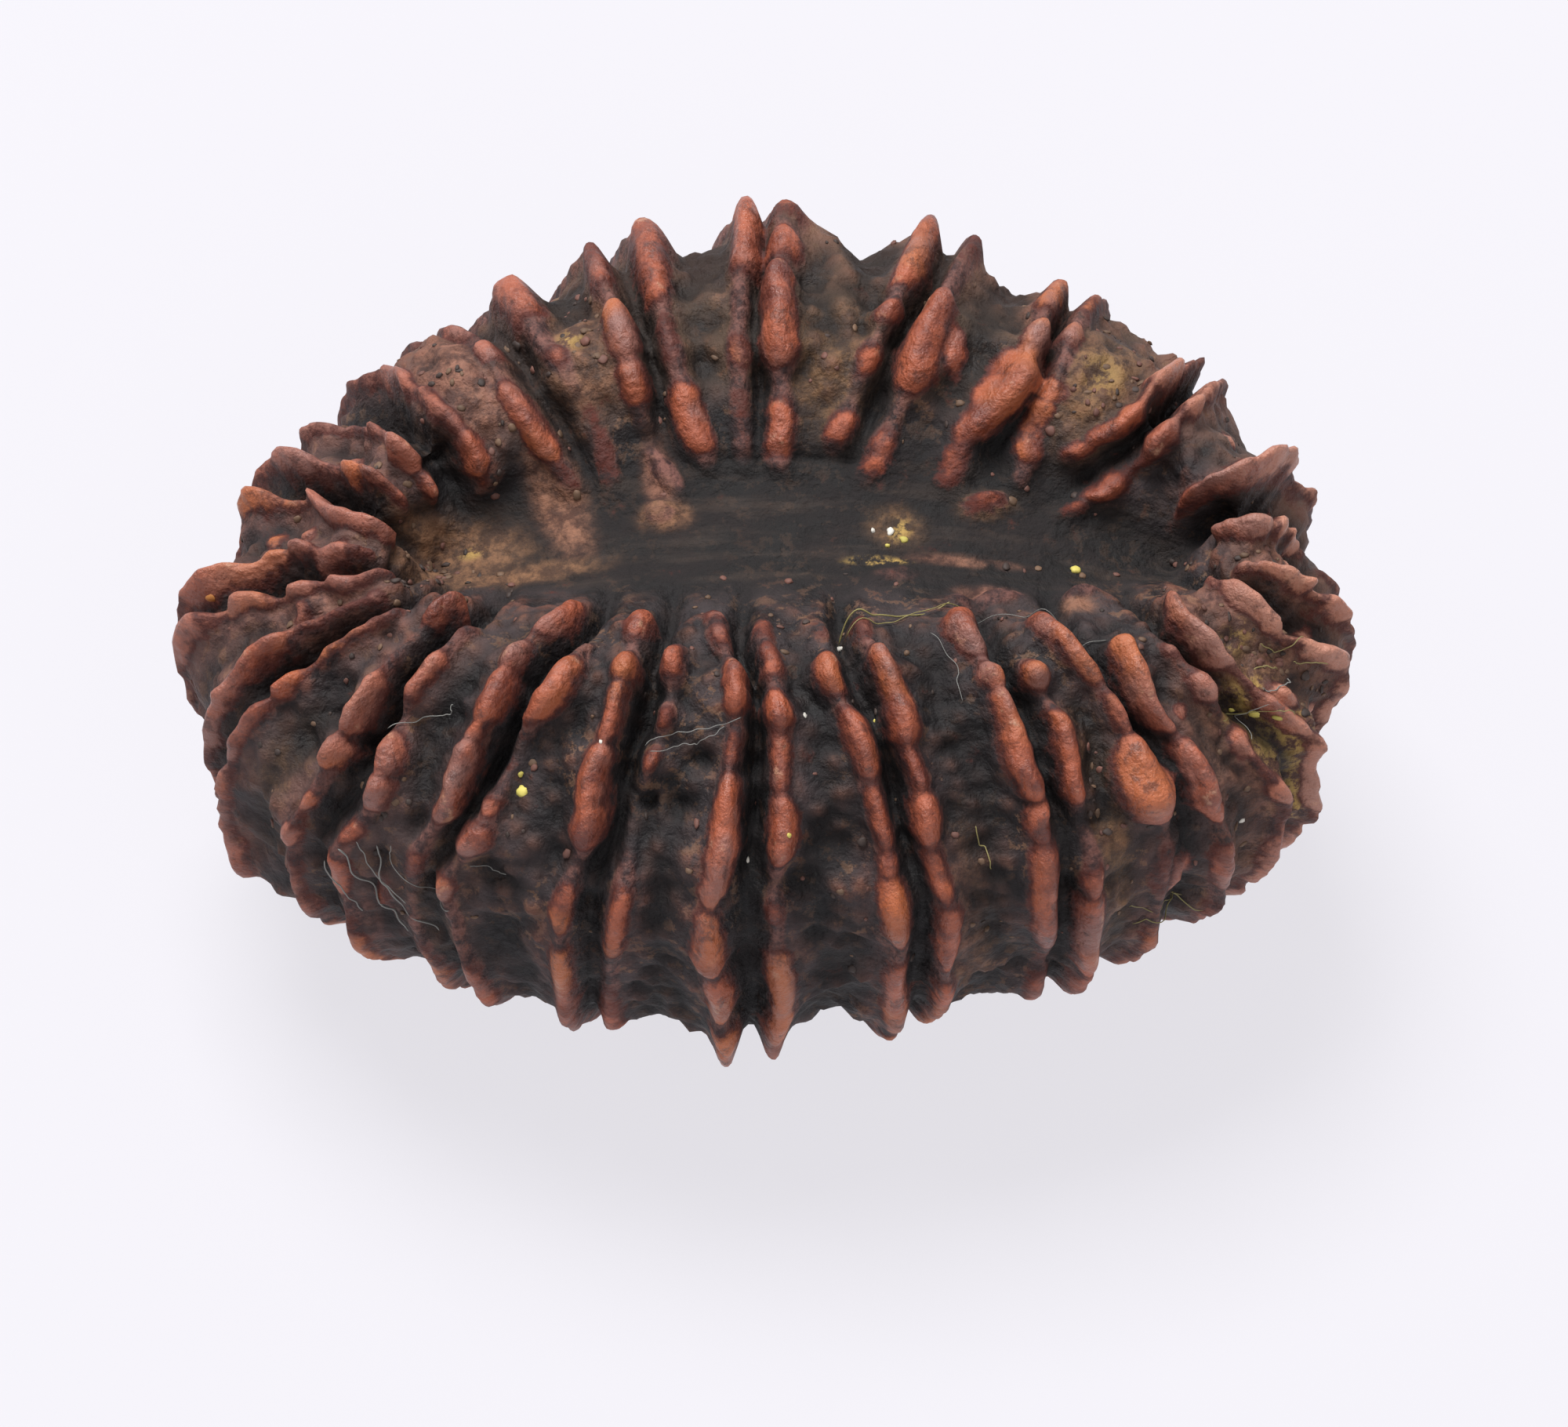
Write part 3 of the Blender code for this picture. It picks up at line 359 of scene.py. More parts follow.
# Brown, dusty places, seen from above: x, y, strength, half length, half width, turn of the length in
# degrees, and how rosy it is.
PATCHES = (
    (-8.9, -0.5, 1.0, 2.2, 1.2, 0, 0.2),
    (-6.6, -1.5, 0.8, 2.4, 0.45, 3, 0.2),
    (-5.7, 1.2, 0.9, 2.5, 0.75, 107, 0.6),
    (-8.3, 3.9, 1.0, 1.8, 1.5, 60, 0.8),
    (-4.9, 4.9, 1.0, 2.0, 1.4, 90, 0.4),
    (2.4, 4.3, 0.7, 1.8, 1.4, 90, 0.0),
    (10.2, 4.0, 0.9, 1.9, 1.5, 50, 0.1),
    (6.3, -1.5, 0.7, 1.7, 0.22, 0, 0.7),
    (6.9, -2.9, 0.8, 0.9, 0.4, 0, 0.9),
    (-2.5, 0.1, 0.9, 0.8, 0.5, 0, 0.3),
    (-2.7, 1.6, 0.8, 1.4, 0.5, 95, 0.8),
    (6.9, 0.6, 1.0, 0.8, 0.4, 20, 0.1),
    (4.3, -0.4, 0.8, 0.8, 0.7, 0, 0.0),
    (9.5, -3.3, 0.8, 0.6, 0.35, 0, 0.6),
    (15.0, -5.7, 1.0, 2.8, 1.7, 60, 0.6),
    (15.6, -1.6, 0.8, 2.2, 1.4, 90, 0.8),
    (13.6, -3.6, 0.6, 1.6, 1.2, 30, 0.9),
    (-12.6, -3.2, 0.8, 2.4, 1.1, 20, 0.9),
    (-13.5, -7.1, 0.4, 1.4, 0.8, 60, 0.0),
    (10.2, -9.4, 0.7, 2.0, 0.6, 110, 0.0),
    (6.4, -11.7, 0.5, 1.6, 0.8, 90, 0.3),
    (-9.0, -10.6, 0.35, 2.2, 1.0, 20, 0.3),
    (8.9, 6.6, 0.6, 1.5, 1.0, 60, 0.9),
)
# Yellow matter, in the same order, without the last number.
YELLOWS = (
    (3.7, -1.7, 1.0, 0.9, 0.17, 0),
    (4.4, -0.5, 0.6, 0.5, 0.4, 60),
    (-8.2, -0.2, 0.5, 0.5, 0.3, 0),
    (-5.3, 5.2, 0.5, 0.6, 0.6, 0),
    (10.4, 4.2, 0.4, 0.9, 0.9, 0),
    (15.0, -6.2, 0.9, 1.3, 0.9, 20),
    (14.2, -4.6, 0.5, 0.9, 0.5, 60),
)
# Specks: turn, fall, radius, and which colour of CRUMB_COLOURS.
SPECKS = (
    (242, 0.3425, 0.2, 3), (241, 0.322, 0.1, 3), (316, 0.0375, 0.2, 3), (186.5, 0.4325, 0.2, 4),
    (328, 0.36, 0.19, 3), (327, 0.35, 0.12, 3), (329.5, 0.37, 0.13, 3), (280.5, 0.24, 0.09, 3),
    (271.5, 0.3475, 0.08, 3), (268, 0.3925, 0.09, 5), (323, 0.4825, 0.1, 5), (272, 0.2375, 0.08, 5),
    (276, 0.132, 0.14, 5), (284, 0.004, 0.13, 5), (286, 0.012, 0.12, 3), (281, 0.01, 0.1, 5),
    (249.5, 0.275, 0.07, 5), (283, 0.022, 0.1, 3), (196, 0.004, 0.13, 0), (156, 0.012, 0.1, 0),
)
# Fibres, each through places given as (turn, fall), with its radius before thinning and whether it is
# yellow.
FIBRE_THICKNESS = 0.62
FIBRE_LIFT = 0.12
FIBRE_CURL = 0.12
FIBRE_SIDES = 6
FIBRE_COLOURS = ((122, 121, 117), (132, 122, 74))
FIBRES = (
    (((227, 0.45), (229, 0.485), (232, 0.51), (235, 0.53)), 0.045, False),
    (((230, 0.44), (231.5, 0.475), (234.5, 0.505), (238, 0.52)), 0.04, False),
    (((226, 0.475), (228, 0.5), (229.5, 0.53)), 0.035, False),
    (((254.5, 0.2725), (257, 0.2575), (260.5, 0.25), (264.5, 0.2425)), 0.022, False),
    (((255, 0.28), (258.5, 0.27), (261.5, 0.2575), (263, 0.25)), 0.02, False),
    (((225, 0.32), (226.5, 0.295), (228.5, 0.2775), (229, 0.27)), 0.025, False),
    (((276, 0.135), (282, 0.13), (288, 0.1125), (292, 0.105)), 0.04, True),
    (((277, 0.142), (283, 0.134), (289, 0.119), (294, 0.103)), 0.025, True),
    (((288.5, 0.1525), (291, 0.1975), (291.5, 0.2275)), 0.018, False),
    (((291, 0.36), (292, 0.3875), (292.5, 0.4125)), 0.03, True),
    (((228, 0.4425), (230.5, 0.475), (235, 0.4975)), 0.028, False),
    (((232, 0.43), (233, 0.46), (237, 0.48), (240, 0.475)), 0.022, False),
    (((240, 0.4275), (242, 0.425), (244, 0.4375)), 0.022, False),
    (((309, 0.52), (314, 0.535), (318, 0.56)), 0.028, True),
    (((308, 0.5), (312, 0.525), (316, 0.54)), 0.022, True),
    (((296.5, 0.105), (304.5, 0.15), (314.5, 0.175)), 0.018, False),
    (((323, 0.335), (326, 0.35), (329, 0.36), (331, 0.375)), 0.022, True),
    (((325, 0.38), (327, 0.365), (328.5, 0.345)), 0.02, False),
    (((331, 0.31), (333, 0.33), (336, 0.335)), 0.03, True),
    (((335, 0.29), (336, 0.31), (339, 0.325)), 0.025, True),
    (((329, 0.33), (332, 0.345), (334, 0.36)), 0.03, False),
    (((337, 0.34), (339, 0.355), (340, 0.37)), 0.028, True),
)
# Crumbs of dried pulp: dark brown, brown, rosy brown, yellow, orange and whitish. Those scattered at
# random have the first three colours, in these shares.
CRUMB_COLOURS = (
    (56, 43, 38), (98, 74, 56), (104, 68, 58), (196, 182, 92), (188, 122, 60), (205, 200, 190),
)
CRUMB_SHARES = (0.3, 0.42, 0.28)
CRUMB_RADII = (0.05, 0.14)
CRUMB_COUNT = 480
CRUMB_FLATNESS = 0.5
# Where each ridge stands out in rust, in the order of turn: (from fall, to fall, how strongly).
STRIPS = (
    ((0.2, 0.29, 1), (0.33, 0.4, 0.9), (0.42, 0.5, 0.6)),
    ((0.15, 0.22, 0.6), (0.22, 0.32, 0.8), (0.35, 0.4, 0.9)),
    ((0.1, 0.24, 0.8), (0.255, 0.28, 0.9), (0.3, 0.38, 0.7)),
    ((0.12, 0.17, 0.6), (0.17, 0.33, 0.85)),
    ((0.03, 0.06, 0.6), (0.06, 0.108, 1), (0.14, 0.19, 0.75), (0.21, 0.25, 0.7), (0.27, 0.33, 0.5)),
    ((0.095, 0.12, 0.7), (0.12, 0.18, 0.8), (0.21, 0.29, 0.8)),
    ((0.08, 0.14, 1), (0.2, 0.24, 0.7), (0.26, 0.33, 0.4)),
    ((0.035, 0.085, 0.7), (0.085, 0.165, 1), (0.18, 0.22, 0.8), (0.24, 0.32, 0.6)),
    ((0.04, 0.088, 0.7), (0.115, 0.21, 0.9), (0.26, 0.33, 0.3)),
    ((0.07, 0.1, 0.9), (0.12, 0.15, 0.6), (0.17, 0.19, 0.8), (0.21, 0.33, 0.8)),
    ((0.055, 0.108, 0.8), (0.13, 0.225, 1), (0.235, 0.27, 0.8), (0.28, 0.33, 0.4)),
    ((0.06, 0.12, 0.3), (0.13, 0.16, 0.5), (0.23, 0.33, 0.9)),
    ((0.065, 0.125, 1), (0.14, 0.19, 0.4), (0.21, 0.32, 0.75)),
    ((0.115, 0.155, 0.8), (0.155, 0.215, 1), (0.24, 0.31, 0.6)),
    ((0.045, 0.13, 0.5), (0.17, 0.2, 0.5), (0.25, 0.33, 0.8)),
    ((0.045, 0.09, 0.5), (0.09, 0.18, 0.8), (0.21, 0.25, 0.7), (0.27, 0.33, 0.5)),
    ((0.115, 0.165, 0.9), (0.165, 0.25, 0.5), (0.28, 0.35, 0.7)),
    ((0.125, 0.16, 0.7), (0.165, 0.22, 1), (0.28, 0.33, 0.5)),
    ((0.15, 0.18, 0.4), (0.2, 0.24, 0.6), (0.235, 0.275, 0.9), (0.33, 0.4, 0.7)),
    ((0.13, 0.3, 0.85), (0.37, 0.43, 0.8)),
    ((0.215, 0.25, 0.9), (0.275, 0.31, 0.9), (0.32, 0.46, 1)),
    ((0.22, 0.25, 0.9), (0.27, 0.305, 0.9), (0.34, 0.4, 0.9), (0.43, 0.5, 0.8)),
    ((0.19, 0.22, 0.8), (0.32, 0.5, 0.85), (0.5, 0.6, 0.5)),
    ((0.28, 0.31, 0.5), (0.33, 0.37, 1), (0.38, 0.47, 0.7), (0.48, 0.56, 0.6)),
    ((0.14, 0.205, 1), (0.275, 0.345, 1), (0.35, 0.385, 1), (0.42, 0.44, 0.8), (0.462, 0.49, 0.8),
     (0.5, 0.6, 0.5)),
    ((0.17, 0.2, 0.4), (0.225, 0.285, 0.75), (0.32, 0.36, 1), (0.36, 0.405, 0.9), (0.42, 0.45, 0.6),
     (0.47, 0.51, 0.8), (0.55, 0.61, 0.8)),
    ((0.125, 0.178, 1), (0.19, 0.225, 0.8), (0.225, 0.28, 1), (0.28, 0.3, 0.6), (0.3, 0.388, 1),
     (0.425, 0.47, 0.5), (0.55, 0.6, 0.4)),
    ((0.2, 0.268, 0.9), (0.275, 0.32, 0.4), (0.35, 0.365, 0.6), (0.375, 0.412, 0.9),
     (0.445, 0.465, 0.8), (0.53, 0.6, 0.8)),
    ((0.13, 0.168, 0.9), (0.188, 0.215, 1), (0.215, 0.275, 0.6), (0.275, 0.378, 1),
     (0.415, 0.47, 0.65), (0.485, 0.6, 0.7)),
    ((0.175, 0.208, 0.7), (0.235, 0.255, 0.5), (0.27, 0.295, 0.6), (0.405, 0.49, 0.6),
     (0.53, 0.59, 0.6)),
    ((0.12, 0.14, 0.8), (0.14, 0.17, 0.6), (0.188, 0.238, 1), (0.25, 0.29, 0.4), (0.292, 0.415, 1),
     (0.42, 0.488, 0.95), (0.495, 0.535, 1), (0.55, 0.62, 1)),
    ((0.115, 0.16, 0.6), (0.165, 0.205, 0.6), (0.218, 0.252, 1), (0.252, 0.31, 0.6),
     (0.312, 0.378, 1), (0.415, 0.448, 0.5), (0.478, 0.62, 0.85)),
    ((0.12, 0.155, 0.5), (0.178, 0.222, 1), (0.232, 0.3, 0.9), (0.3, 0.37, 0.6), (0.37, 0.395, 0.7),
     (0.395, 0.465, 0.95), (0.495, 0.58, 0.9)),
    ((0.12, 0.16, 0.7), (0.175, 0.27, 0.95), (0.27, 0.315, 0.6), (0.315, 0.368, 0.9),
     (0.368, 0.425, 0.6), (0.43, 0.5, 0.8), (0.51, 0.6, 0.7)),
    ((0.138, 0.19, 0.95), (0.203, 0.225, 1), (0.225, 0.34, 0.8), (0.34, 0.385, 0.85),
     (0.385, 0.505, 0.95), (0.555, 0.62, 0.7)),
    ((0.205, 0.232, 1), (0.255, 0.355, 0.8), (0.425, 0.455, 0.7), (0.46, 0.55, 0.9),
     (0.56, 0.61, 0.6)),
    ((0.14, 0.24, 0.8), (0.25, 0.3, 0.5), (0.3, 0.405, 1), (0.44, 0.5, 0.4), (0.53, 0.6, 0.5)),
    ((0.195, 0.315, 0.9), (0.325, 0.43, 1), (0.455, 0.52, 0.75)),
    ((0.17, 0.24, 0.5), (0.265, 0.305, 0.9), (0.425, 0.46, 0.7), (0.5, 0.57, 0.6)),
    ((0.165, 0.285, 0.85), (0.335, 0.41, 0.85), (0.42, 0.53, 0.85)),
)

FALLS = np.linspace(0, 1, 401)
SMOOTHING = 0.008


def smooth_step(low, high, value):
    part = np.clip((value - low) / (high - low), 0, 1)
    return part * part * (3 - 2 * part)


def smoothed(values):
    reach = np.arange(-12, 13) * (FALLS[1] - FALLS[0])
    weights = np.exp(-0.5 * (reach / SMOOTHING) ** 2)
    padded = np.pad(values, 12, mode="edge")
    return np.convolve(padded, weights / weights.sum(), mode="valid")


def track(knots, random=None):
    """(turn, height, half width) of a ridge at every value of FALLS. random carries it on below."""
    knots = [tuple(knot) + (RIDGE_HALF_WIDTH,) * (4 - len(knot)) for knot in knots]
    if random is not None:
        turn = knots[-1][1]
        for fall in (0.68, 0.75, 0.82, 0.88):
            height = random.uniform(0.6, 1.25)
            knots.append((fall, turn + random.uniform(-1.2, 1.2), height, random.uniform(0.4, 0.6)))
    falls, turns, heights, widths = (list(column) for column in zip(*knots))
    turn = smoothed(np.interp(FALLS, falls, turns))
    width = smoothed(np.interp(FALLS, falls, widths))
    end = RIDGE_END_FALL if random is not None else falls[-1] + 0.1
    heights = [0] + heights + [heights[-1], 0]
    falls = [falls[0] - RIDGE_RISE_FALL] + falls + [end - 0.02, end]
    height = smoothed(np.interp(FALLS, falls, heights, left=0, right=0))
    return turn, height, width


def build_tracks():
    """Both ridges of every groove, and the mounds."""
    random = np.random.default_rng(SEED)
    pairs = [(track(low, random), track(high, random)) for low, high in GROOVES]
    return pairs, [track(knots) for knots in MOUNDS]


def base_surface(turn, fall):
    """Points in millimetres of the smooth surface under the ridges. turn is in radians here."""
    out = np.sin(math.pi * fall)
    up = np.cos(math.pi * fall)
    plan = 1 + 0 * turn
    for wave, size in PLAN_COS.items():
        plan = plan + size * out * np.cos(wave * turn)
    for wave, size in PLAN_SIN.items():
        plan = plan + size * out * np.sin(wave * turn)
    focus = HALF_LENGTH**2 - HALF_WIDTH**2
    x = np.sqrt(focus + (HALF_WIDTH * out) ** 2) * np.cos(turn) * plan
    y = HALF_WIDTH * out * np.sin(turn) * plan
    crown = np.hypot(np.sin(turn), HALF_WIDTH / HALF_LENGTH * np.cos(turn))
    height = np.where(up > 0, UPPER_HEIGHT, UNDER_HEIGHT)
    z = height * np.sign(up) * np.abs(up) ** SHOULDER_POWER * crown
    depth = np.where(up > 0, VALLEY_DEPTH, UNDER_VALLEY_DEPTH)
    z = z - np.sign(up) * depth * np.exp(-((out / VALLEY_REACH) ** 3))
    top = np.clip(up, 0, 1)
    taper = 1 - UNDER_TAPER * np.clip(-up, 0, 1)
    return np.stack([x * taper + VALLEY_SHIFT[0] * top, y * taper + VALLEY_SHIFT[1] * top, z], axis=-1)


def base_frame(turn, fall):
    """(point, outward normal, millimetres per radian of turn) of the smooth surface."""
    step = 1e-3
    point = base_surface(turn, fall)
    along_turn = (base_surface(turn + step, fall) - base_surface(turn - step, fall)) / (2 * step)
    along_fall = base_surface(turn, fall + step) - base_surface(turn, fall - step)
    normal = np.cross(along_fall, along_turn)
    length = np.linalg.norm(normal, axis=-1, keepdims=True)
    normal = normal / np.maximum(length, 1e-9)
    return point, normal, np.linalg.norm(along_turn, axis=-1)


def turn_gap(turn, centre):
    """The shorter way round from centre to turn, in radians."""
    return (turn - centre + math.pi) % (2 * math.pi) - math.pi


def bell(distance, half_width, power):
    """1 at the middle and a half at half_width. A higher power is flatter on top."""
    return np.exp(-math.log(2) * np.abs(distance / half_width) ** power)


def value_noise(points, spacing, seed):
    """Smooth noise from -1 to 1 at each point."""
    table = np.random.default_rng(seed).uniform(-1, 1, (NOISE_CELLS,) * 3)
    place = points / spacing + seed * 3.7
    low = np.floor(place).astype(int)
    part = place - low
    part = part * part * (3 - 2 * part)
    total = 0
    for corner in np.ndindex(2, 2, 2):
        i, j, k = ((low + corner) % NOISE_CELLS).T
        weight = np.prod(np.where(np.array(corner) == 1, part, 1 - part), axis=-1)
        total = total + weight * table[i, j, k]
    return total


def layered_noise(points, spacing, seed, layers=3):
    total = sum(value_noise(points, spacing / 2**n, seed + n) / 2**n for n in range(layers))
    return total / 1.4


def cell_distance(points, spacing, seed):
    """Distance from each point to the nearest of a set of scattered centres, over the spacing."""
    table = np.random.default_rng(seed).uniform(0.1, 0.9, (NOISE_CELLS,) * 3 + (3,))
    place = points / spacing + 50
    low = np.floor(place).astype(int)
    nearest = np.full(len(points), 9.0)
    for step in np.ndindex(3, 3, 3):
        cell = low + np.array(step) - 1
        i, j, k = (cell % NOISE_CELLS).T
        nearest = np.minimum(nearest, np.linalg.norm(cell + table[i, j, k] - place, axis=-1))
    return nearest


def along_noise(fall, size, ridge):
    """Noise along one ridge, from -1 to 1."""
    place = np.stack([fall / size, np.full_like(fall, ridge * 5.3), np.full_like(fall, 0.5)], axis=-1)
    return value_noise(place.reshape(-1, 3), 1.0, 7).reshape(fall.shape)


def strip_share(fall, strips, ridge):
    """How rubbed a ridge is along its run: its strips, and past them breaks at random."""
    share = np.zeros_like(fall)
    for start, end, strength in strips:
        taper = min(0.022, 0.45 * (end - start + 0.02))
        edge = smooth_step(start - 0.01, start - 0.01 + taper, fall)
        edge = edge * smooth_step(-0.01, taper - 0.01, end - fall)
        share = np.maximum(share, strength * edge)
    hidden = 0.75 * smooth_step(-0.45, -0.05, along_noise(fall, 0.035, ridge + 200))
    return np.maximum(share, hidden * smooth_step(0.5, 0.58, fall))


def at_back(turn):
    return smooth_step(0.5, 0.8, np.sin(turn))


def outside(turn, fall):
    """0 on the upper face and 1 on the outside of the stone."""
    first, last = (edge - BACK_FALL * at_back(turn) for edge in OUTSIDE_FALL)
    return smooth_step(first, last, fall)


def between(pair, share):
    return pair[0] + (pair[1] - pair[0]) * share


def face_sag(turn, fall):
    level = outside(turn, fall)
    sag = between(FACE_SAG, level) + BACK_SAG * at_back(turn) * level
    return sag * smooth_step(0.08, 0.2, fall) * smooth_step(0.0, 0.1, 1 - fall)


def height_share(turn, fall):
    """The share of its height a ridge keeps: less on the upper face, least where it starts in front."""
    start = smooth_step(0.3, 0.6, -np.sin(turn)) * (1 - smooth_step(0.06, 0.22, fall))
    return between(RIDGE_SHARE, outside(turn, fall)) * (1 - (1 - FRONT_START) * start)


def blob(along, across, length, width, lean=0, power=1.5):
    """A soft oval spot, 1 at its middle. lean turns its length, in degrees."""
    cosine, sine = math.cos(math.radians(lean)), math.sin(math.radians(lean))
    lengthways = (along * cosine + across * sine) / length
    sideways = (across * cosine - along * sine) / width
    return np.exp(-((lengthways**2 + sideways**2) ** power))


def spots(turn, fall, scale, places):
    """The strongest of some blobs: (turn, fall, strength, half length, half width, and maybe a lean)."""
    total = np.zeros_like(turn)
    for centre_turn, centre_fall, strength, *shape in places:
        along = (fall - centre_fall) * FALL_LENGTH
        across = turn_gap(turn, math.radians(centre_turn)) * scale
        total = np.maximum(total, strength * blob(along, across, *shape))
    return total


def ridge_heights(turn, fall, scale, pairs, sag):
    """Height of the ridges, how rubbed each place is, how far up a ridge it is, and how near its slope.

    The height is given to the fourth power, because ridges that meet are added up in that form.
    """
    total, crest, flank, slope = (np.zeros_like(turn) for _ in range(4))
    ridges = [ridge for pair in pairs for ridge in pair]
    ends = smooth_step(0.6, 0.9, np.abs(np.cos(turn)))
    for n, (turns, heights, widths) in enumerate(ridges):
        centre = np.radians(np.interp(fall, FALLS, turns))
        gap = turn_gap(turn, centre) * scale
        near = np.abs(gap) < RIDGE_REACH
        row, end, back = fall[near], ends[near], at_back(turn[near])
        wander = along_noise(row, 0.03, n) + 0.5 * along_noise(row, 0.011, n + 50)
        gap = gap[near] + RIDGE_WANDER * wander
        share = strip_share(row, STRIPS[n], n)
        height = np.maximum(np.interp(row, FALLS, heights), 0)
        level = outside(turn[near], row)
        open_side = level * (1 - 0.8 * back)
        height = (height * height_share(turn[near], row) + sag[near]) * np.clip(height / 0.5, 0, 1)
        dip = between((0.32, 0.12), level) * (1 - share)
        more = END_KNOBS * end
        calm = 1 - 0.6 * back
        knots = 0.8 * along_noise(row, 0.052, n + 100) + 0.4 * along_noise(row, 0.017, n + 400)
        height = height * (1 + calm * (RIDGE_KNOBS + more) * knots) * (1 - dip)
        width = np.interp(row, FALLS, widths)
        swell = 0.7 * along_noise(row, 0.06, n + 150) + 0.5 * along_noise(row, 0.02, n + 450)
        swell = swell + (0.9 - 0.5 * end) * np.sign(gap) * along_noise(row, 0.03, n + 300)
        width = width * (1 + calm * (WIDTH_CHANGE + more) * swell)
        width = width * (0.62 + 0.36 * share) * (1 - END_NARROWING * end + BACK_WIDENING * back)
        profile = bell(gap, width, RIDGE_POWER)
        rubbed = bell(gap, (CREST_WIDTH + 0.12 * end) * width, CREST_POWER)
        outer = gap * (1 if n % 2 else -1)
        fade = np.exp(-((np.maximum(outer, 0) / between(SLOPE_REACH, open_side)) ** 1.3))
        fade = fade * np.where(outer > 0, 1, profile)
        fill = between(GROOVE_FILL, level) * np.where(outer > 0, 0, np.exp(-(gap**2)))
        foot = np.maximum(between(SLOPE_SHARE, open_side) * fade, fill)
        total[near] += (height * profile) ** 4 + (height * foot) ** 4
        stands = np.clip(height / 0.7, 0, 1)
        lower = 1 - 0.2 * smooth_step(0.46, 0.6, row) * (1 - end)
        worn = np.maximum(share, 0.45 * end)
        crest[near] = np.maximum(crest[near], rubbed * worn * stands * lower)
        flank[near] = np.maximum(flank[near], profile * stands)
        slope[near] = np.maximum(slope[near], fade * stands)
    return total, crest, flank, slope


def groove_depths(turn, fall, scale, pairs):
    groove = np.zeros_like(turn)
    open_fall = smooth_step(GROOVE_START_FALL, GROOVE_START_FALL + 0.08, fall)
    open_fall = open_fall * smooth_step(0, 0.08, RIDGE_END_FALL - fall)
    for pair in pairs:
        middle = np.radians(np.interp(fall, FALLS, (pair[0][0] + pair[1][0]) / 2))
        distance = turn_gap(turn, middle) * scale
        groove = groove + open_fall * np.exp(-((distance / GROOVE_HALF_WIDTH) ** 2))
    return groove


def mound_heights(turn, fall, scale, mounds):
    total = np.zeros_like(turn)
    for turns, heights, widths in mounds:
        centre = np.radians(np.interp(fall, FALLS, turns))
        distance = turn_gap(turn, centre) * scale
        profile = bell(distance, np.interp(fall, FALLS, widths), MOUND_POWER)
        total = total + np.interp(fall, FALLS, heights) * profile
    return total


def column_turns(fall, pairs):
    """The turns of a row's columns, in radians: they follow the ridges, and are even at the valleys."""
    count = len(pairs) * sum(COLUMN_STEPS)
    even = np.radians(COLUMN_START) + 2 * math.pi * np.arange(count) / count
    ridges = [np.radians(np.interp(fall, FALLS, ridge[0])) for pair in pairs for ridge in pair]
    widths = [np.interp(fall, FALLS, ridge[2]) for pair in pairs for ridge in pair]
    after = ridges[2:] + [ridges[0] + 2 * math.pi, ridges[1] + 2 * math.pi]
    _, _, scale = base_frame(np.array(ridges), np.full(len(ridges), fall))
    edges = 0.55 * np.array(widths) / np.maximum(scale, 1.0)
    turns = []
    for k in range(len(pairs)):
        low, high = ridges[2 * k], ridges[2 * k + 1]
        following = after[2 * k]
        middle = (low + high) / 2
        high_edge = min(edges[2 * k + 1], 0.3 * (high - low), 0.2 * (following - high))
        face = (high + following) / 2
        next_edge = min(edges[(2 * k + 2) % len(ridges)], 0.2 * (following - high))
        foot = high + high_edge + 0.4 * (face - high - high_edge)
        next_foot = following - next_edge - 0.4 * (following - next_edge - face)
        next_inner = min(edges[(2 * k + 2) % len(ridges)], 0.3 * (after[2 * k + 1] - following))
        stops = [middle, high - high_edge, high + high_edge, foot, face, next_foot]
        stops += [following - next_edge, following + next_inner, (following + after[2 * k + 1]) / 2]
        for first, last, steps in zip(stops, stops[1:], COLUMN_STEPS):
            turns += list(np.linspace(first, last, steps, endpoint=False))
    follow = smooth_step(0.0, 0.08, fall) * smooth_step(0.0, 0.1, 1 - fall)
    turns = np.array(turns)
    return even + follow * (turns - even)


def row_falls():
    rows = [np.linspace(low, high, count, endpoint=False) for low, high, count in ROW_BANDS]
    return np.append(np.concatenate(rows), 1.0)


def surface_detail(point, flank, slope, open_face):
    """Height in millimetres of the fine detail, and how far in a pit and up a wart each place is."""
    flat = point.reshape(-1, 3)
    pit = np.exp(-((cell_distance(flat, PIT_SPACING, 3) / PIT_SIZE) ** 2)).reshape(flank.shape)
    wart = np.exp(-((cell_distance(flat, WART_SPACING, 5) / WART_SIZE) ** 2)).reshape(flank.shape)
    patch = np.clip(0.5 + 0.9 * value_noise(flat, PATCH_SIZE, 11), 0, 1).reshape(flank.shape)
    rough = layered_noise(flat, ROUGHNESS_SIZE, 13).reshape(flank.shape)
    broad = layered_noise(flat, SWELL_SIZE, 17).reshape(flank.shape)
    face = open_face * (1 - flank) ** 2
    pit = pit * face * (0.3 + 0.7 * patch)
    wart = wart * face * (1 - 0.65 * patch)
    height = WART_HEIGHT * wart - PIT_DEPTH * pit
    calm = (0.6 + 0.4 * (1 - flank)) * (0.4 + 0.6 * open_face) * (1 - 0.6 * slope * (1 - flank))
    height = height + ROUGHNESS_HEIGHT * rough * calm
    return height + SWELL_HEIGHT * broad * face, pit, wart


def window_mean(values, reach, edges):
    """The mean over a window along the first axis, taken twice. edges says what lies past the ends."""
    for _ in range(2):
        padded = np.pad(values, ((reach, reach), (0, 0)), mode=edges)
        sums = np.cumsum(np.pad(padded, ((1, 0), (0, 0))), axis=0)
        values = (sums[2 * reach + 1 :] - sums[: -2 * reach - 1]) / (2 * reach + 1)
    return values


def blurred(values, rows, columns):
    """The mean over a window of rows and columns. Columns run right round the stone."""
    return window_mean(window_mean(values, rows, "edge").T, columns, "wrap").T


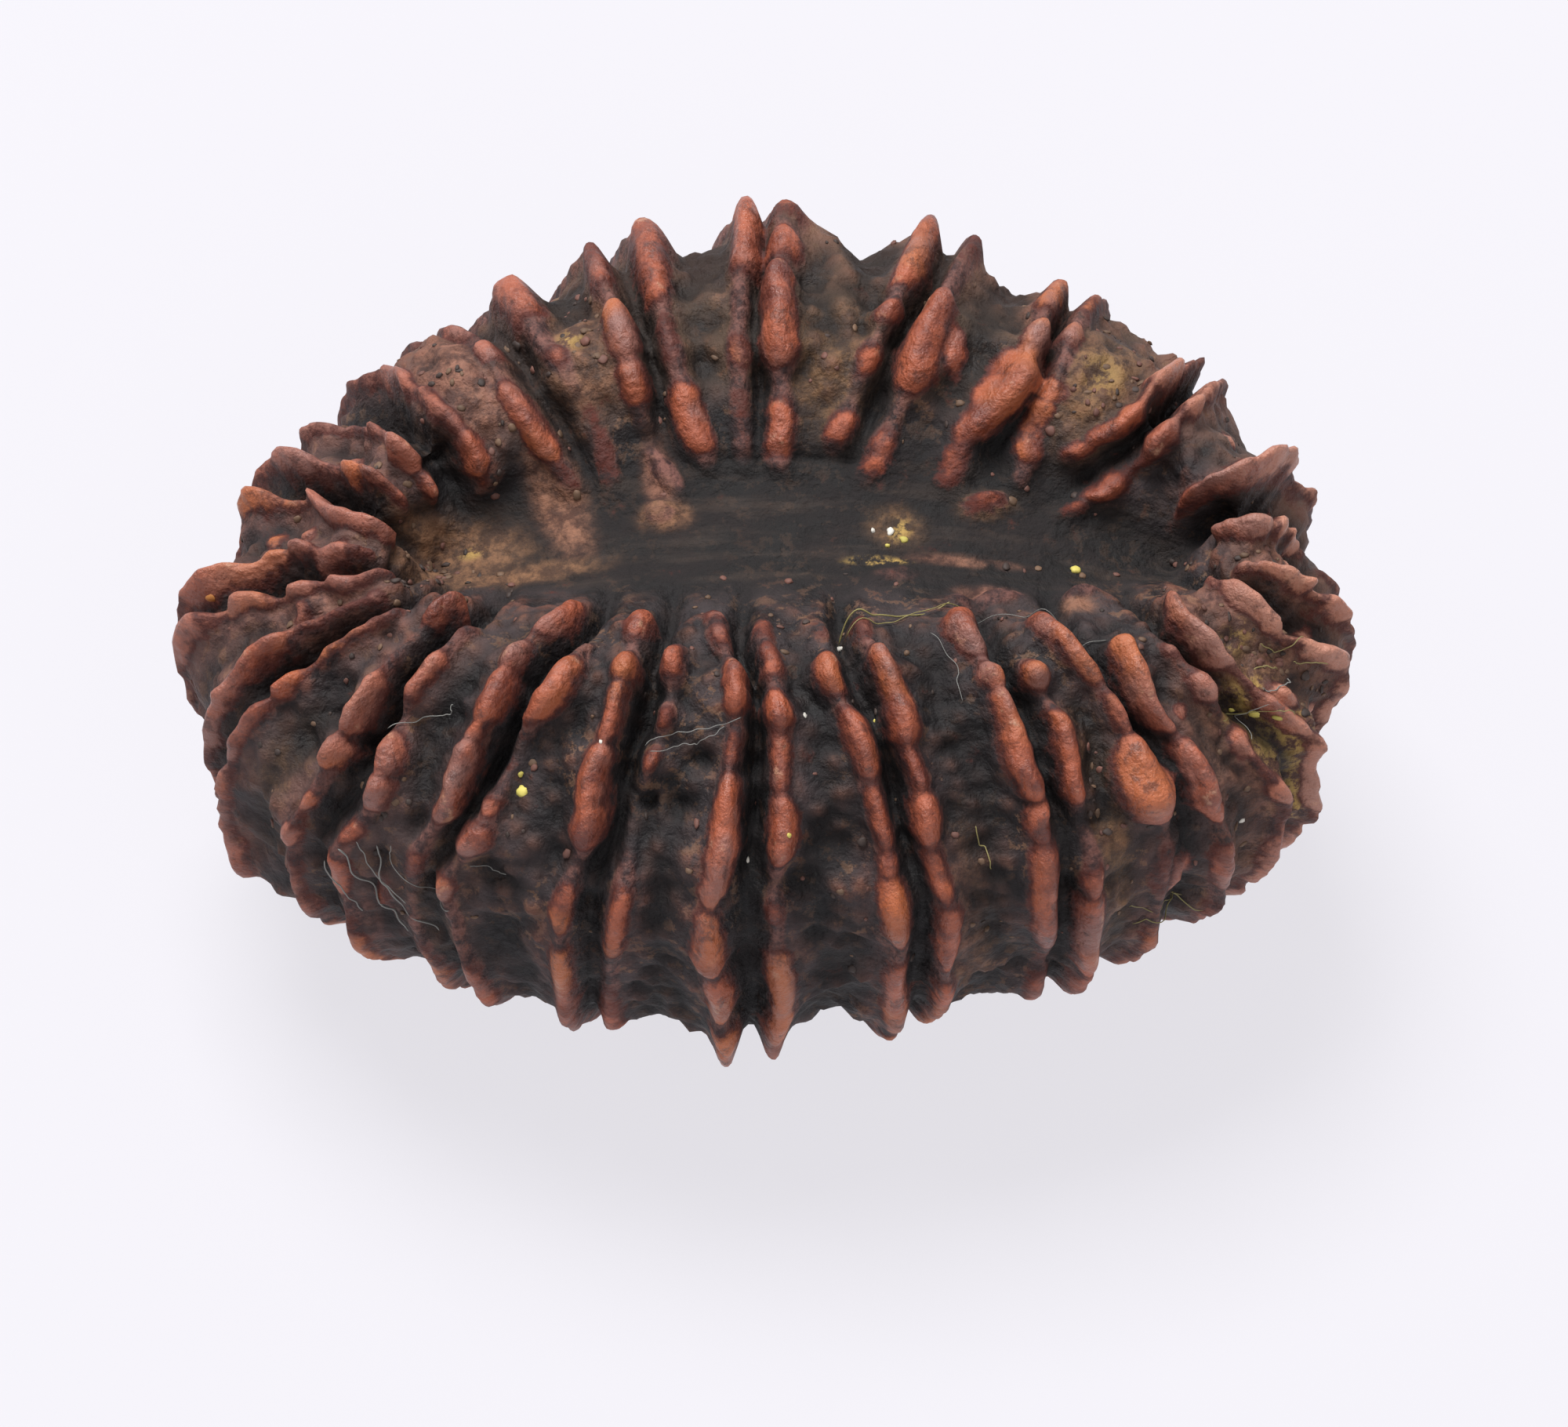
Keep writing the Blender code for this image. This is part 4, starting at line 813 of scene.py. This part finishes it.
def painted(point, fall, places):
    """The strongest of some patches at each place of the upper side, and how rosy it is."""
    total = np.zeros_like(fall)
    rosy = np.zeros_like(fall)
    for x, y, strength, length, width, lean, *tone in places:
        spot = strength * blob(point[..., 0] - x, point[..., 1] - y, length, width, lean, 1.1)
        spot = spot * (fall < 0.55)
        rosy = np.where(spot > total, (tone or [0])[0], rosy)
        total = np.maximum(total, spot)
    return total, rosy


def build_stone(pairs, mounds):
    """(points in millimetres as rows of columns, the masks that the finish reads, turns in radians)."""
    falls = row_falls()
    turn = np.array([column_turns(fall, pairs) for fall in falls])
    fall = np.repeat(falls[:, None], turn.shape[1], axis=1)
    point, normal, scale = base_frame(turn, fall)
    sag = face_sag(turn, fall)
    ridge, crest, flank, slope = ridge_heights(turn, fall, scale, pairs, sag)
    mound = mound_heights(turn, fall, scale, mounds)
    knob = spots(turn, fall, scale, [place[:6] for place in KNOBS])
    red = spots(turn, fall, scale, [place[:2] + place[6:] + place[3:6] for place in KNOBS])
    groove = groove_depths(turn, fall, scale, pairs)
    open_face = smooth_step(0.07, 0.14, fall) * smooth_step(0.0, 0.08, 1 - fall)
    detail, pit, wart = surface_detail(point, flank, slope, open_face)
    depth = GROOVE_DEPTH * groove * (1 - flank) * (1 - 0.7 * outside(turn, fall))
    depth = depth + spots(turn, fall, scale, DENTS)
    height = (ridge + mound**4 + knob**4) ** 0.25 - sag - depth + detail
    height[[0, -1]] = 0
    low = blurred(height, 3, 9)
    brown, tone = painted(point, fall, PATCHES)
    masks = {
        "crest": np.maximum(crest, red),
        "orange": spots(turn, fall, scale, ORANGES),
        "flank": np.maximum(flank, np.clip(knob / 0.3, 0, 1)),
        "back": at_back(turn) * smooth_step(0.09, 0.15, fall) * (1 - smooth_step(0.36, 0.46, fall)),
        "rim": smooth_step(0.2, 0.3, fall) * (1 - smooth_step(0.34, 0.44, fall)) * at_back(turn),
        "slope": slope * (1 - flank),
        "groove": np.clip(groove, 0, 1) * (1 - flank),
        "pit": pit,
        "wart": wart,
        "brown": brown,
        "tone": tone,
        "yellow": painted(point, fall, YELLOWS)[0],
        "rosy": smooth_step(0.45, 0.85, np.abs(np.cos(turn))) * smooth_step(0.1, 0.2, fall),
        "right": smooth_step(0.7, 0.95, np.cos(turn)) * smooth_step(0.16, 0.26, fall),
        # Painted shade: how far each place lies below the surface round it.
        "hollow_shade": np.clip((low - height) / 0.35, 0, 1),
        "rubbed": np.clip((height - low) / 0.35, 0, 1),
        "valley": 1 - smooth_step(0.05, 0.13, fall),
        "fall": fall,
    }
    return point + normal * height[..., None], masks, turn


def new_mesh(name, points, faces):
    """A mesh from points in millimetres."""
    mesh = bpy.data.meshes.new(name)
    mesh.from_pydata((points * MM).tolist(), [], faces)
    return mesh


def coat(mesh, material):
    for face in mesh.polygons:
        face.use_smooth = True
    mesh.materials.append(material)


def stone_mesh(points, masks, name):
    """A closed mesh. The first and last rows are each folded onto a line, where columns meet in pairs."""
    rows, columns, _ = points.shape
    first = round(-2 * COLUMN_START * columns / 360)

    def index(row, column):
        column %= columns
        if row in (0, rows - 1):
            column = min(column, (first - column) % columns)
        return row * columns + column

    faces = []
    for row in range(rows - 1):
        for column in range(columns):
            left = [index(row, column), index(row + 1, column)]
            right = [index(row + 1, column + 1), index(row, column + 1)]
            corners = left + right
            face = [corner for n, corner in enumerate(corners) if corner not in corners[:n]]
            if len(face) > 2:
                faces.append(face)
    mesh = new_mesh(name, points.reshape(-1, 3), faces)
    for mask, values in masks.items():
        mesh.attributes.new(mask, "FLOAT", "POINT").data.foreach_set("value", values.ravel())
    return mesh


def outward(points):
    """The outward direction at every point of the stone's rows."""
    along_row = np.roll(points, -1, axis=1) - np.roll(points, 1, axis=1)
    down = np.gradient(points, axis=0)
    direction = np.cross(down, along_row)
    length = np.linalg.norm(direction, axis=-1, keepdims=True)
    return direction / np.maximum(length, 1e-9)


def surface_place(points, normals, turns, turn, fall):
    """(point, outward direction) of the finished stone at a turn in degrees and a fall."""
    falls = row_falls()
    row = int(np.argmin(np.abs(falls - fall)))
    gap = np.abs(turn_gap(turns[row], math.radians(turn)))
    column = int(np.argmin(gap))
    return points[row, column], normals[row, column]


def ball():
    """Corners and triangles of a small round ball."""
    body = bmesh.new()
    bmesh.ops.create_icosphere(body, subdivisions=2, radius=1)
    corners = np.array([vert.co[:] for vert in body.verts])
    faces = np.array([[vert.index for vert in face.verts] for face in body.faces])
    body.free()
    return corners, faces


def loose_mesh(name, parts, material):
    """One mesh of separate lumps or threads: parts is a list of (points, faces, colour)."""
    points, faces, colours, first = [], [], [], 0
    for corners, sides, colour in parts:
        points.append(corners)
        faces += (np.array(sides) + first).tolist()
        colours.append(np.tile(colour, (len(corners), 1)))
        first += len(corners)
    mesh = new_mesh(name, np.concatenate(points), faces)
    attribute = mesh.attributes.new("tint", "FLOAT_COLOR", "POINT")
    attribute.data.foreach_set("color", np.concatenate(colours).ravel())
    coat(mesh, material)
    return mesh


def crumb(random, place, direction, radius, colour, corners, faces):
    """One lumpy crumb that sits in the surface."""
    squash = random.uniform(0.6, 1.3, 3)
    lumps = 1 + 0.35 * value_noise(corners * 1.7 + random.uniform(0, 50, 3), 1.0, 3)[:, None]
    shape = corners * squash * lumps * radius
    shape = shape - CRUMB_FLATNESS * (shape @ direction)[:, None] * direction
    tint = np.array(from_srgb(*CRUMB_COLOURS[colour])) * random.uniform(0.75, 1.15)
    return shape + place + direction * radius * 0.05, faces, np.append(tint[:3], 1)


def crumbs(points, normals, turns, masks):
    random = np.random.default_rng(SEED + 5)
    corners, faces = ball()
    parts = []
    falls = row_falls()
    bare = (masks["flank"] < 0.35) & (masks["fall"] > 0.03) & (masks["fall"] < 0.52)
    weight = bare * (0.25 + 1.6 * masks["brown"] + masks["wart"])
    clumps = 0.5 + 0.9 * value_noise(points.reshape(-1, 3), 1.6, 41).reshape(turns.shape)
    weight = weight * np.clip(clumps, 0.02, 1) * np.gradient(falls)[:, None]
    chosen = random.choice(weight.size, CRUMB_COUNT, replace=False, p=(weight / weight.sum()).ravel())
    for index in chosen:
        row, column = divmod(int(index), turns.shape[1])
        colour = random.choice(len(CRUMB_SHARES), p=CRUMB_SHARES)
        radius = random.uniform(*CRUMB_RADII)
        place, direction = points[row, column], normals[row, column]
        parts.append(crumb(random, place, direction, radius, colour, corners, faces))
    for turn, fall, radius, colour in SPECKS:
        place, direction = surface_place(points, normals, turns, turn, fall)
        parts.append(crumb(random, place, direction, radius, colour, corners, faces))
    return parts


def thread(path, radius, colour):
    """A thin round thread along a path, closed at both ends."""
    sides = FIBRE_SIDES
    ahead = np.gradient(path, axis=0)
    ahead = ahead / np.linalg.norm(ahead, axis=1, keepdims=True)
    side = np.cross(ahead, (0.3, 0.2, 1.0))
    side = side / np.linalg.norm(side, axis=1, keepdims=True)
    other = np.cross(ahead, side)
    angles = 2 * math.pi * np.arange(sides) / sides
    ring = np.cos(angles)[:, None, None] * side + np.sin(angles)[:, None, None] * other
    ends = np.ones(len(path))
    ends[[0, -1]] = 0.2
    points = (path + ring * (radius * ends)[:, None]).transpose(1, 0, 2).reshape(-1, 3)
    faces = []
    for n in range(len(path) - 1):
        for k in range(sides):
            a, b = n * sides + k, n * sides + (k + 1) % sides
            faces += [[a, b, b + sides], [a, b + sides, a + sides]]
    last = (len(path) - 1) * sides
    for k in range(1, sides - 1):
        faces += [[0, k + 1, k], [last, last + k, last + k + 1]]
    return points, faces, np.array(colour)


def fibres(points, normals, turns):
    random = np.random.default_rng(SEED + 9)
    parts = []
    for knots, radius, yellow in FIBRES:
        steps = np.linspace(0, len(knots) - 1, 12 * len(knots))
        turn = np.interp(steps, range(len(knots)), [knot[0] for knot in knots])
        fall = np.interp(steps, range(len(knots)), [knot[1] for knot in knots])
        places = [surface_place(points, normals, turns, *place) for place in zip(turn, fall)]
        path = np.array([place + direction * FIBRE_LIFT for place, direction in places])
        for _ in range(4):
            path[1:-1] = (path[:-2] + 2 * path[1:-1] + path[2:]) / 4
        curl = random.uniform(-1, 1, 3) * FIBRE_CURL
        path = path + np.sin(steps * 2.2)[:, None] * curl
        parts.append(thread(path, FIBRE_THICKNESS * radius, from_srgb(*FIBRE_COLOURS[yellow])))
    return parts


def cut_rest(mesh):
    """Cuts the lowest ridges flat and sets the cut on Z=0, with the box's middle at X=0 and Y=0.

    Returns the shift.
    """
    body = bmesh.new()
    body.from_mesh(mesh)
    loose = [vert for vert in body.verts if not vert.link_faces]
    bmesh.ops.delete(body, geom=loose, context="VERTS")
    level = min(vert.co.z for vert in body.verts) + REST_CUT * MM
    everything = body.verts[:] + body.edges[:] + body.faces[:]
    plane = {"plane_co": (0, 0, level), "plane_no": (0, 0, -1)}
    cut = bmesh.ops.bisect_plane(body, geom=everything, dist=1e-7, clear_outer=True, **plane)
    rim = [item for item in cut["geom_cut"] if isinstance(item, bmesh.types.BMEdge)]
    bmesh.ops.holes_fill(body, edges=rim, sides=0)
    bmesh.ops.recalc_face_normals(body, faces=body.faces[:])
    xs = [vert.co.x for vert in body.verts]
    ys = [vert.co.y for vert in body.verts]
    shift = Vector((-(min(xs) + max(xs)) / 2, -(min(ys) + max(ys)) / 2, -level))
    bmesh.ops.translate(body, verts=body.verts[:], vec=shift)
    body.to_mesh(mesh)
    body.free()
    return shift


def from_srgb(red, green, blue):
    """A colour for a shader from the 0 to 255 numbers that a screen shows."""
    return [((value / 255 + 0.055) / 1.055) ** 2.4 for value in (red, green, blue)] + [1]


class Nodes:
    """A new material, with short names for the shader nodes that its finish uses."""

    def __init__(self, name):
        self.material = bpy.data.materials.new(name)
        self.material.use_nodes = True
        self.tree = self.material.node_tree

    def dress(self, looks):
        """Sets the named sockets of the material's shader, and returns the material."""
        for name, value in looks.items():
            self.feed(self.tree.nodes["Principled BSDF"].inputs[name], value)
        return self.material

    def put(self, kind, inputs=None, **settings):
        node = self.tree.nodes.new(kind)
        for name, value in settings.items():
            setattr(node, name, value)
        for name, value in (inputs or {}).items():
            self.feed(node.inputs[name], value)
        return node

    def feed(self, socket, value):
        if isinstance(value, bpy.types.NodeSocket):
            self.tree.links.new(value, socket)
        else:
            socket.default_value = value

    def mask(self, name):
        return self.put("ShaderNodeAttribute", attribute_name=name).outputs["Fac"]

    def noise(self, scale, detail=4.0, roughness=0.55, offset=0.0, along=1.0):
        """Cloudy noise, with its scale in waves a metre and its values mostly from 0.3 to 0.7.

        along under 1 stretches it along the stone's valley.
        """
        place = self.put("ShaderNodeTexCoord").outputs["Object"]
        parts = {0: place, 1: (along, 1, 1), 2: (offset,) * 3}
        moved = self.put("ShaderNodeVectorMath", parts, operation="MULTIPLY_ADD")
        inputs = {"Vector": moved.outputs[0], "Scale": scale, "Detail": detail, "Roughness": roughness}
        return self.put("ShaderNodeTexNoise", inputs).outputs[0]

    def ramp(self, value, low, high):
        inputs = {"Value": value, "From Min": low, "From Max": high}
        return self.put("ShaderNodeMapRange", inputs, interpolation_type="SMOOTHSTEP").outputs[0]

    def maths(self, operation, *values):
        return self.put("ShaderNodeMath", dict(enumerate(values)), operation=operation).outputs[0]

    def times(self, first, second):
        return self.maths("MULTIPLY", first, second)

    def scaled(self, value, by, plus):
        return self.maths("MULTIPLY_ADD", value, by, plus)

    def mix(self, amount, first, second):
        """A blend of two colours. A tuple is a colour as a screen shows it, from 0 to 255."""
        node = self.put("ShaderNodeMix", data_type="RGBA")
        for socket, value in ((0, amount), (6, first), (7, second)):
            self.feed(node.inputs[socket], from_srgb(*value) if isinstance(value, tuple) else value)
        return node.outputs[2]


def stone_material():
    n = Nodes("dried_seed")
    crest, flank, slope, brown = n.mask("crest"), n.mask("flank"), n.mask("slope"), n.mask("brown")
    mottle = n.noise(650, 6, 0.66, 5)
    fine = n.noise(1900, 6, 0.7, 9)
    patches = n.noise(260, 4, 0.55, 31)
    ends = n.times(n.mask("rosy"), n.ramp(patches, 0.36, 0.56))
    flecks = n.ramp(fine, 0.38, 0.64)
    valley = n.mask("valley")
    off_valley = n.scaled(n.maths("SUBTRACT", 1.0, valley), 0.75, 0.1)

    # The floor between ridges: near black, with brown dust rubbed on in patches and on high places.
    floor = n.mix(n.ramp(mottle, 0.38, 0.66), (26, 23, 26), (68, 59, 60))
    floor = n.mix(n.times(valley, 0.8), floor, (20, 17, 16))
    streaks = n.times(n.ramp(n.noise(1500, 4, 0.6, 51, 0.12), 0.48, 0.70), valley)
    floor = n.mix(n.times(streaks, 0.6), floor, (58, 48, 43))
    raised = n.scaled(n.ramp(slope, 0.2, 0.8), 0.6, 0.15)
    floor = n.mix(n.times(ends, raised), floor, (124, 88, 78))
    pale = n.times(n.mask("right"), n.ramp(mottle, 0.30, 0.52))
    floor = n.mix(n.times(pale, 0.6), floor, (138, 104, 88))
    olive = n.times(n.mask("back"), n.ramp(mottle, 0.28, 0.54))
    floor = n.mix(n.times(olive, 0.9), floor, (90, 70, 55))
    sunlit = n.times(n.mask("rim"), n.ramp(patches, 0.36, 0.58))
    floor = n.mix(n.times(sunlit, 0.8), floor, (124, 88, 72))
    speck = n.times(n.ramp(fine, 0.53, 0.60), n.ramp(patches, 0.40, 0.58))
    speck = n.times(speck, off_valley)
    floor = n.mix(speck, floor, (118, 88, 68))
    wear = n.times(n.ramp(n.mask("rubbed"), 0.05, 0.6), n.ramp(fine, 0.40, 0.56))
    wear = n.times(wear, off_valley)
    floor = n.mix(wear, floor, (112, 70, 57))
    tan = n.mix(flecks, (74, 55, 42), (126, 93, 64))
    pink = n.mix(flecks, (82, 52, 45), (148, 102, 86))
    dust = n.mix(n.mask("tone"), tan, pink)
    dusty = n.times(n.ramp(brown, 0.05, 0.7), n.ramp(mottle, 0.26, 0.52))
    floor = n.mix(dusty, floor, dust)
    floor = n.mix(n.times(n.mask("wart"), 0.75), floor, (106, 70, 56))
    yellow = n.times(n.ramp(n.mask("yellow"), 0.1, 0.7), n.ramp(fine, 0.44, 0.56))
    floor = n.mix(yellow, floor, (178, 146, 82))

    # The sides of the ridges: rosy brown skin, in parts.
    rosy = n.mix(flecks, (54, 35, 35), (122, 82, 74))
    side = n.times(n.ramp(slope, 0.35, 0.9), n.ramp(n.noise(420, 4, 0.55, 11), 0.36, 0.58))
    floor = n.mix(n.times(side, 0.8), floor, rosy)
    skin = n.times(n.ramp(flank, 0.25, 0.7), n.ramp(n.noise(500, 4, 0.6, 13), 0.30, 0.52))
    floor = n.mix(n.times(skin, 0.95), floor, rosy)

    # Near black: the dark colour of the grooves and pits, and painted shade in every hollow that lies
    # below the surface round it.
    dark = n.maths("MAXIMUM", n.mask("groove"), n.mask("pit"))
    dark = n.maths("MAXIMUM", dark, n.times(n.mask("hollow_shade"), 0.9))
    floor = n.mix(n.times(dark, 0.95), floor, (12, 10, 11))

    # The crests: rubbed to rust, darker red towards their edges, with painted highlights.
    rust = n.mix(n.ramp(n.noise(620, 6, 0.68, 17), 0.36, 0.62), (100, 45, 32), (162, 84, 56))
    rust = n.mix(n.ramp(n.noise(170, 3, 0.5, 43), 0.50, 0.66), rust, (172, 96, 56))
    rust = n.mix(n.ramp(n.noise(260, 4, 0.6, 21), 0.52, 0.66), rust, (132, 88, 78))
    rust = n.mix(n.times(ends, 0.45), rust, (152, 106, 94))
    # Small whitish spots: painted highlights.
    rust = n.mix(n.ramp(n.noise(900, 5, 0.7, 47), 0.60, 0.72), rust, (176, 128, 102))
    rust = n.mix(n.times(pale, 0.6), rust, (188, 134, 112))
    orange = n.times(n.mask("orange"), n.ramp(mottle, 0.28, 0.50))
    rust = n.mix(n.times(orange, 0.75), rust, (182, 98, 52))
    stain = n.times(n.ramp(n.noise(1300, 5, 0.68, 61), 0.55, 0.66), 0.6)
    rust = n.mix(stain, rust, (62, 34, 30))
    edge = n.maths("ADD", crest, n.scaled(fine, 0.9, -0.45))
    edge = n.maths("ADD", edge, n.scaled(mottle, 0.6, -0.3))
    colour = n.mix(n.ramp(edge, 0.12, 0.34), floor, (78, 38, 32))
    colour = n.mix(n.ramp(edge, 0.28, 0.62), colour, rust)
    gloss = n.scaled(n.ramp(crest, 0.3, 0.9), -0.26, 0.56)
    gloss = n.scaled(n.ramp(mottle, 0.35, 0.65), 0.2, gloss)
    gloss = n.scaled(valley, 0.15, gloss)
    level = n.scaled(n.ramp(crest, 0.2, 0.8), 0.25, 0.32)
    grain = n.maths("ADD", n.noise(2800, 5, 0.65, 23), n.times(n.noise(1000, 4, 0.6, 29), 2.0))
    bump = n.put("ShaderNodeBump", {"Strength": 1.0, "Distance": BUMP_DEPTH, "Height": grain}).outputs[0]
    return n.dress({"Base Color": colour, "Roughness": gloss, "Specular IOR Level": level, "Normal": bump})


def loose_material(name, roughness):
    n = Nodes(name)
    tint = n.put("ShaderNodeAttribute", attribute_name="tint").outputs["Color"]
    return n.dress({"Base Color": tint, "Roughness": roughness})


def floor_material():
    """A pale floor that also glows, so that shadows on it stay faint."""
    glow = {"Emission Color": from_srgb(238, 236, 242), "Emission Strength": FLOOR_GLOW}
    return Nodes("studio_floor").dress({"Base Color": from_srgb(92, 91, 94), "Roughness": 0.9, **glow})


def add_floor():
    bpy.ops.mesh.primitive_plane_add(size=FLOOR_SIZE)
    floor = bpy.context.object
    floor.name = "studio_floor"
    floor.data.materials.append(floor_material())


def add_object(name, data):
    thing = bpy.data.objects.new(name, data)
    bpy.context.scene.collection.objects.link(thing)
    return thing


def add_light(name, place, size, power):
    data = bpy.data.lights.new(name, "AREA")
    data.size = size
    data.energy = power
    light = add_object(name, data)
    light.location = place
    light.rotation_euler = (LIT_POINT - Vector(place)).to_track_quat("-Z", "Y").to_euler()


def add_studio():
    for light in LIGHTS:
        add_light(*light)
    world = bpy.data.worlds.new("studio")
    world.use_nodes = True
    background = world.node_tree.nodes["Background"]
    background.inputs["Color"].default_value = WORLD_COLOUR
    background.inputs["Strength"].default_value = WORLD_STRENGTH
    bpy.context.scene.world = world


def add_camera(middle):
    angle = math.radians(CAMERA_ELEVATION)
    view = Vector((0, -math.cos(angle), math.sin(angle)))
    up = Vector((0, math.sin(angle), math.cos(angle)))
    target = middle + Vector((VIEW_OFFSET[0], 0, 0)) + up * VIEW_OFFSET[1]
    data = bpy.data.cameras.new("camera")
    data.sensor_width = SENSOR_WIDTH
    data.lens = SENSOR_WIDTH * CAMERA_DISTANCE / FRAME_WIDTH
    camera = add_object("camera", data)
    camera.location = target + view * CAMERA_DISTANCE
    camera.rotation_euler = view.to_track_quat("Z", "Y").to_euler()
    bpy.context.scene.camera = camera
    bpy.context.scene.view_settings.view_transform = "Standard"


def add_piece(mesh):
    piece = add_object(mesh.name, mesh)
    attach(piece, "root")
    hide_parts(NODE)


def main():
    pairs, mounds = build_tracks()
    points, masks, turns = build_stone(pairs, mounds)
    normals = outward(points)
    mesh = stone_mesh(points, masks, "seed_stone")
    middle = cut_rest(mesh)
    coat(mesh, stone_material())
    pulp = loose_mesh("pulp_crumbs", crumbs(points, normals, turns, masks), loose_material("pulp", 0.7))
    hair = loose_mesh("fibres", fibres(points, normals, turns), loose_material("fibre", 0.6))
    for loose in (pulp, hair):
        loose.transform(Matrix.Translation(middle))
    for piece in (mesh, pulp, hair):
        add_piece(piece)
    add_floor()
    add_studio()
    add_camera(middle)


main()
